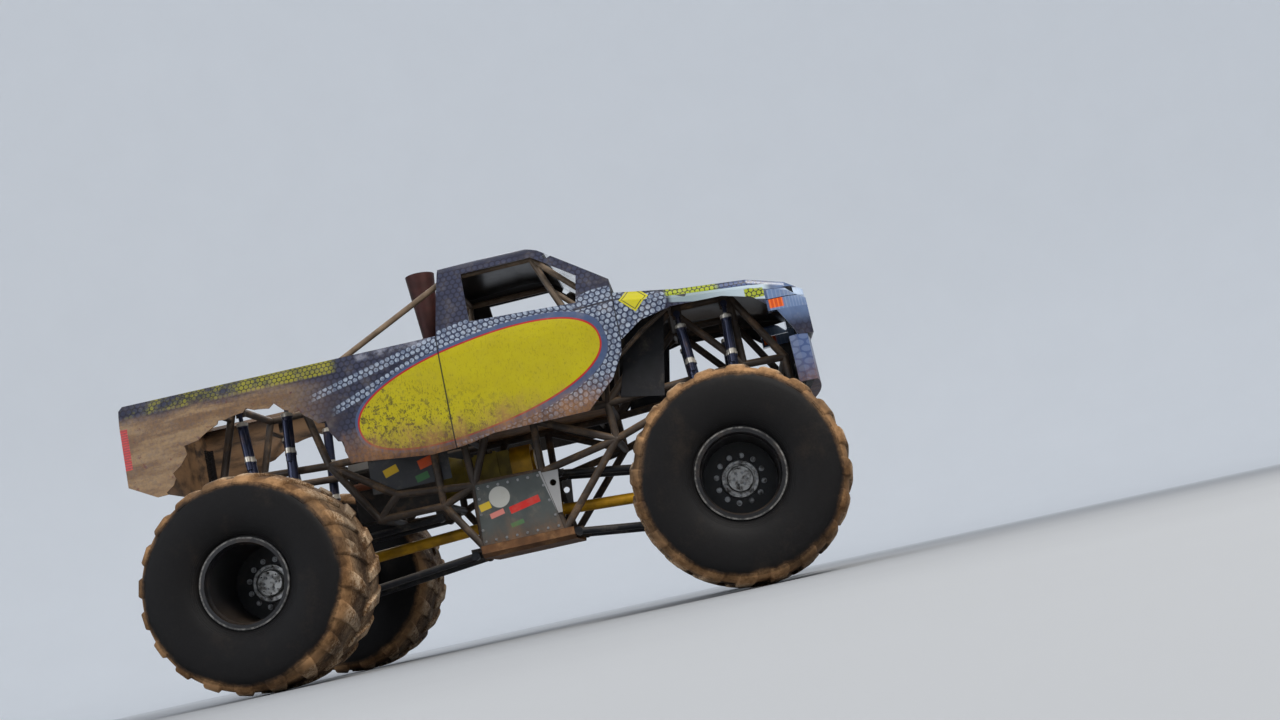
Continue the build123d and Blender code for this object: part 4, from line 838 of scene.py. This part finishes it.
# Tyres: a balloon section of revolution with two rows of slanted lugs
lug_count = 20
lug_height = 0.024
carcass_crown = tyre_radius - lug_height
lug_start, lug_span = 0.014, 0.48   # inner end of a lug from the middle plane, and its width
lug_inner_half, lug_outer_half = 0.040, 0.074
lug_sweep, lug_bow = 0.164, 0.25    # slant in radians and how much it bows
lug_root, lug_edge = 0.012, 0.004   # depth in the carcass, height of the edge's chamfer
waist = 0.60                        # radius at which the sidewall stands out most
widest = tyre_half - 0.0045
bead_radius, bead_half = 0.3185, 0.4427
squareness = 4.0


def shoulder_point(turn):
    """(radius, outboard) of the carcass, from 0 at the crown's middle to a right angle at the waist."""
    rise = carcass_crown - waist
    return (
        waist + rise * max(math.cos(turn), 0.0) ** (2 / squareness),
        widest * math.sin(turn) ** (2 / squareness),
    )


def shoulder_normal(radius, outboard):
    """Direction (radius, outboard) that looks out of the carcass."""
    rise = carcass_crown - waist
    normal = Vector((
        ((radius - waist) / rise) ** (squareness - 1) / rise,
        (outboard / widest) ** (squareness - 1) / widest,
    ))
    return normal.normalized()


def sidewall_point(turn):
    """(radius, outboard) from the waist in to the bead."""
    return (waist - (waist - 0.356) * math.sin(turn), bead_half + (widest - bead_half) * math.cos(turn))


def half_profile(steps=12):
    """Outer half section from the crown's middle to the bead."""
    crown_turns = [math.pi / 2 * (i / steps) for i in range(steps + 1)]
    wall_turns = [math.pi / 2 * i / 8 for i in range(1, 9)]
    return ([shoulder_point(t) for t in crown_turns] + [sidewall_point(t) for t in wall_turns]
            + [(bead_radius, bead_half), (bead_radius, bead_half - 0.036), (0.42, 0.43)])


def wheel_point(x, radius, y, angle):
    """Point of a wheel; angle from the ground, y from the middle of the truck."""
    return Vector((x + radius * math.sin(angle), y, tyre_radius - radius * math.cos(angle)))


def tyre_bmesh(x, side):
    bm = bmesh.new()
    around = 160
    half = half_profile()
    section = half + [(r, -w) for r, w in reversed(half[1:])]
    rings = []
    for i in range(around):
        angle = 2 * math.pi * i / around
        rings.append([
            bm.verts.new(wheel_point(x, r, side * track_half + w, angle)) for r, w in section
        ])
    skin(bm, rings + rings[:1], capped=False)
    pitch = 2 * math.pi / lug_count
    # Stations of a lug over the tread, then round the shoulder
    turns = [math.asin((w / widest) ** 2) for w in (0.012, 0.10, 0.20, 0.30, 0.38, 0.44)]
    turns += [math.radians(a) for a in (49, 56, 62, 67)]
    for row in (1, -1):
        for i in range(lug_count):
            middle = pitch * (i - row * 0.25)
            rings = []
            for turn in turns:
                radius, outboard = shoulder_point(turn)
                out = shoulder_normal(radius, outboard)
                share = min((outboard - lug_start) / lug_span, 1.0)
                angle = middle + lug_sweep * (share + lug_bow * share * (1 - share) - 0.5)
                half_wide = lug_inner_half + (lug_outer_half - lug_inner_half) * share
                fade = min(1.0, max(0.12, (math.radians(70) - turn) / math.radians(18)))
                lift = lug_height * fade
                ring = []
                # Corners of the lug's section: (share of its half width, height)
                for wide, high in ((-1.12, -lug_root), (-0.86, lift - lug_edge), (-0.76, lift),
                                   (0.76, lift), (0.86, lift - lug_edge), (1.12, -lug_root)):
                    r = radius + out.x * high
                    y = side * track_half + row * (outboard + out.y * high)
                    ring.append(bm.verts.new(wheel_point(x, r, y, angle + wide * half_wide / r)))
                rings.append(ring)
            skin(bm, rings)
    return bm


# Bolts on the hub's ring, on its cover and round the rim's disc: radius, outboard, count, size
hub_bolts = (
    (0.131, hub_face - 0.032, 16, 0.0075),
    (0.048, hub_face, 6, 0.008),
    (0.186, -0.200, 12, 0.015),
)
for corner, side in zip(corners, (1, -1, 1, -1)):
    low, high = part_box(f"tyre_{corner}")
    x = (low.x + high.x) / 2
    body = f"wheel_{corner}"
    rubber = tyre_rubber(corner, x)
    tyre = add_piece(f"lugged_tyre_{corner}", tyre_bmesh(x, side), body, rubber, 38)
    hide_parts(f"tyre_{corner}")
    dress(nodes[f"rim_{corner}"], rim_finish(corner, side, x))
    bolts = bmesh.new()
    for radius, outboard, count, size in hub_bolts:
        places = []
        for i in range(count):
            angle = 2 * math.pi * (i + 0.5) / count
            place = wheel_point(x, radius, side * (track_half + outboard), angle)
            places.append((place, (0, side, 0)))
        bolt_heads(bolts, places, size)
    add_piece(f"wheel_bolts_{corner}", bolts, body, bolt_steel)

# Dark sheets inside the frame below the bed, hung from the rail tubes
sheet_rear, sheet_front, sheet_low, sheet_top = -1.02, -0.34, 1.415, 1.742
sheet_face, sheet_wall, small_bolt = 0.470, 0.004, 0.008
sheets = bmesh.new()
for side in (1, -1):
    inner, outer = sorted((side * (sheet_face - sheet_wall), side * sheet_face))
    slab(sheets, (sheet_rear, inner, sheet_low), (sheet_front, outer, sheet_top))
    for x in (sheet_rear + 0.04, sheet_rear + 0.32, sheet_front - 0.04):
        bolt_heads(sheets, [((x, side * sheet_face, sheet_top - 0.042), (0, side, 0))], small_bolt)
add_piece("rear_side_sheets", sheets, "root", side_sheet_paint())

# Bolts round the side panels: plane of a panel through two of the frame's joints
panel_low, panel_high = (0.420, 0.790), (0.460, 1.310)
panel_up = Vector((0.02, panel_high[0] - panel_low[0], panel_high[1] - panel_low[1])).normalized()
panel_out = Vector((0, panel_up.z, -panel_up.y)).normalized()
panel_face = 0.0413                 # from the plane of the joints to the panel's outer face
# Rows of bolts: start and end (x, height along the panel), count
bolt_rows = (
    ((-0.165, 0.045), (0.455, 0.045), 8), ((-0.140, 0.490), (0.370, 0.490), 7),
    ((-0.172, 0.140), (-0.148, 0.400), 3), ((0.448, 0.140), (0.400, 0.400), 3),
)
fasteners = bmesh.new()
for side in (1, -1):
    for start, end, count in bolt_rows:
        for i in range(count):
            x, up = (a + (b - a) * i / (count - 1) for a, b in zip(start, end))
            point = Vector((x, panel_low[0], panel_low[1])) + panel_out * panel_face
            point += Vector((0, panel_up.y, panel_up.z)) * up
            mirrored = (point.x, side * point.y, point.z)
            bolt_heads(fasteners, [(mirrored, (0, side * panel_out.y, panel_out.z))], small_bolt)
add_piece("panel_bolts", fasteners, "root", bolt_steel)

# Seat pads and harness
class Pad:
    """Crowned pad on a straight stretch of the seat, with sewn channels across it."""

    def __init__(self, foot, head, half, thick, channels):
        self.foot = Vector((foot[0], 0.0, floor_top + foot[1]))
        self.run = Vector((head[0] - foot[0], 0.0, head[1] - foot[1]))
        self.out = Vector((self.run.z, 0.0, -self.run.x)).normalized()
        self.half, self.thick, self.channels = half, thick, channels

    def half_at(self, share):
        """Half width, drawn in between the corners and rounded at them."""
        end = abs(2 * share - 1)
        return self.half * (1 - 0.04 * (1 - end ** 2) - 0.10 * end ** 14)

    def height(self, across, share):
        edge = (1 - abs(across) ** 6) ** 0.5 * (1 - abs(2 * share - 1) ** 8) ** 0.5
        seam = max((math.exp(-((share * self.channels - k) / 0.10) ** 2)
                    for k in range(1, self.channels)), default=0.0)
        welt = math.exp(-((abs(across) - 0.80) / 0.035) ** 2)
        crown = 0.80 + 0.20 * math.cos(across * math.pi / 2)
        return self.thick * edge * crown * (1 - 0.38 * seam) * (1 - 0.30 * welt)

    def point(self, y, share, lift=0.0):
        across = max(-1.0, min(1.0, y / self.half_at(share)))
        rise = self.height(across, share) + lift
        return self.foot + self.run * share + self.out * rise + Vector((0, y, 0))

    def mesh(self, long_steps=72, wide_steps=36):
        bm = bmesh.new()
        rings = []
        for i in range(long_steps + 1):
            share = i / long_steps
            half = self.half_at(share)
            ring = []
            for j in range(wide_steps + 1):
                across = -1 + 2 * j / wide_steps
                ring.append(bm.verts.new(self.point(across * half, share, 0.002)))
            for across in (0.9, 0.3, -0.3, -0.9):
                base = self.foot + self.run * share + self.out * 0.0005
                ring.append(bm.verts.new(base + Vector((0, across * half, 0))))
            rings.append(ring)
        skin(bm, rings)
        return bm


def strap(bm, points, wide, thick=0.003):
    """Flat webbing along points, lying in the plane of the truck's width."""
    rings = []
    for i, point in enumerate(points):
        before, after = points[max(i - 1, 0)], points[min(i + 1, len(points) - 1)]
        run = (after - before).normalized()
        across = (Vector((0, 1, 0)) - run * run.y).normalized() if abs(run.y) < 0.7 else run.cross(
            Vector((run.z, 0, -run.x)).normalized()).normalized()
        up = across.cross(run).normalized()
        rings.append([bm.verts.new(point + across * a * wide / 2 + up * b * thick / 2)
                      for a, b in ((-1, -1), (1, -1), (1, 1), (-1, 1))])
    skin(bm, rings)


# Ends of a pad as (x, height over the floor), half width, thickness, sewn channels
seat_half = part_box("driver_seat")[1].y - 0.060
pad_half = seat_half - 0.008
base_pad = Pad((0.580, 0.146), (0.320, 0.116), pad_half, 0.045, 4)
back_pad = Pad((0.224, 0.205), (0.112, 0.760), pad_half, 0.038, 6)
cloth = pad_cloth()
for name, pad in (("seat_base_pad", base_pad), ("seat_back_pad", back_pad)):
    cushion = add_piece(name, pad.mesh(), "root", cloth, 60)
belts = bmesh.new()
buckle = base_pad.point(0.0, 0.70, 0.012)
for side in (1, -1):
    shoulder = [back_pad.point(side * 0.085, 0.97 - 0.80 * k / 20, 0.007) for k in range(21)]
    belly = back_pad.point(side * 0.065, 0.13, 0.010)
    strap(belts, shoulder + [belly, buckle + Vector((-0.02, side * 0.02, 0.004))], 0.048)
    hip = base_pad.point(side * (seat_half - 0.02), 0.93, 0.012)
    strap(belts, [hip.lerp(buckle, k / 8) + Vector((0, 0, 0.012 * math.sin(math.pi * k / 8)))
                  for k in range(9)], 0.044)
add_piece("harness_webbing", belts, "root", webbing(), 50)
lock = bmesh.new()
turned(lock, buckle + Vector((0, 0, 0.002)), base_pad.out,
       [(0.034, 0.0), (0.036, 0.006), (0.034, 0.014), (0.020, 0.018), (0.008, 0.018)])
add_piece("harness_buckle", lock, "root", bolt_steel)

# Dials and switches on the face of the dashboard
dash_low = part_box("dashboard")[0]
dial_rise, switch_rise, switch_pitch = 0.13, 0.05, 0.035
dials = bmesh.new()
for y, radius in ((-0.27, 0.034), (-0.17, 0.034), (0.17, 0.034), (0.27, 0.034), (0.37, 0.026)):
    turned(dials, (dash_low.x, y, dash_low.z + dial_rise), (-1, 0, 0), [
        (radius, -0.002), (radius, 0.012), (radius - 0.005, 0.014), (radius - 0.007, 0.008),
        (0.003, 0.008)], 32)
add_piece("dash_dials", dials, "root", grip_rubber)
switches = bmesh.new()
for i in range(6):
    place = (dash_low.x, -0.41 + switch_pitch * i, dash_low.z + switch_rise)
    bolt_heads(switches, [(place, (-1, 0, 0))], 0.007)
add_piece("dash_switches", switches, "root", bolt_steel)
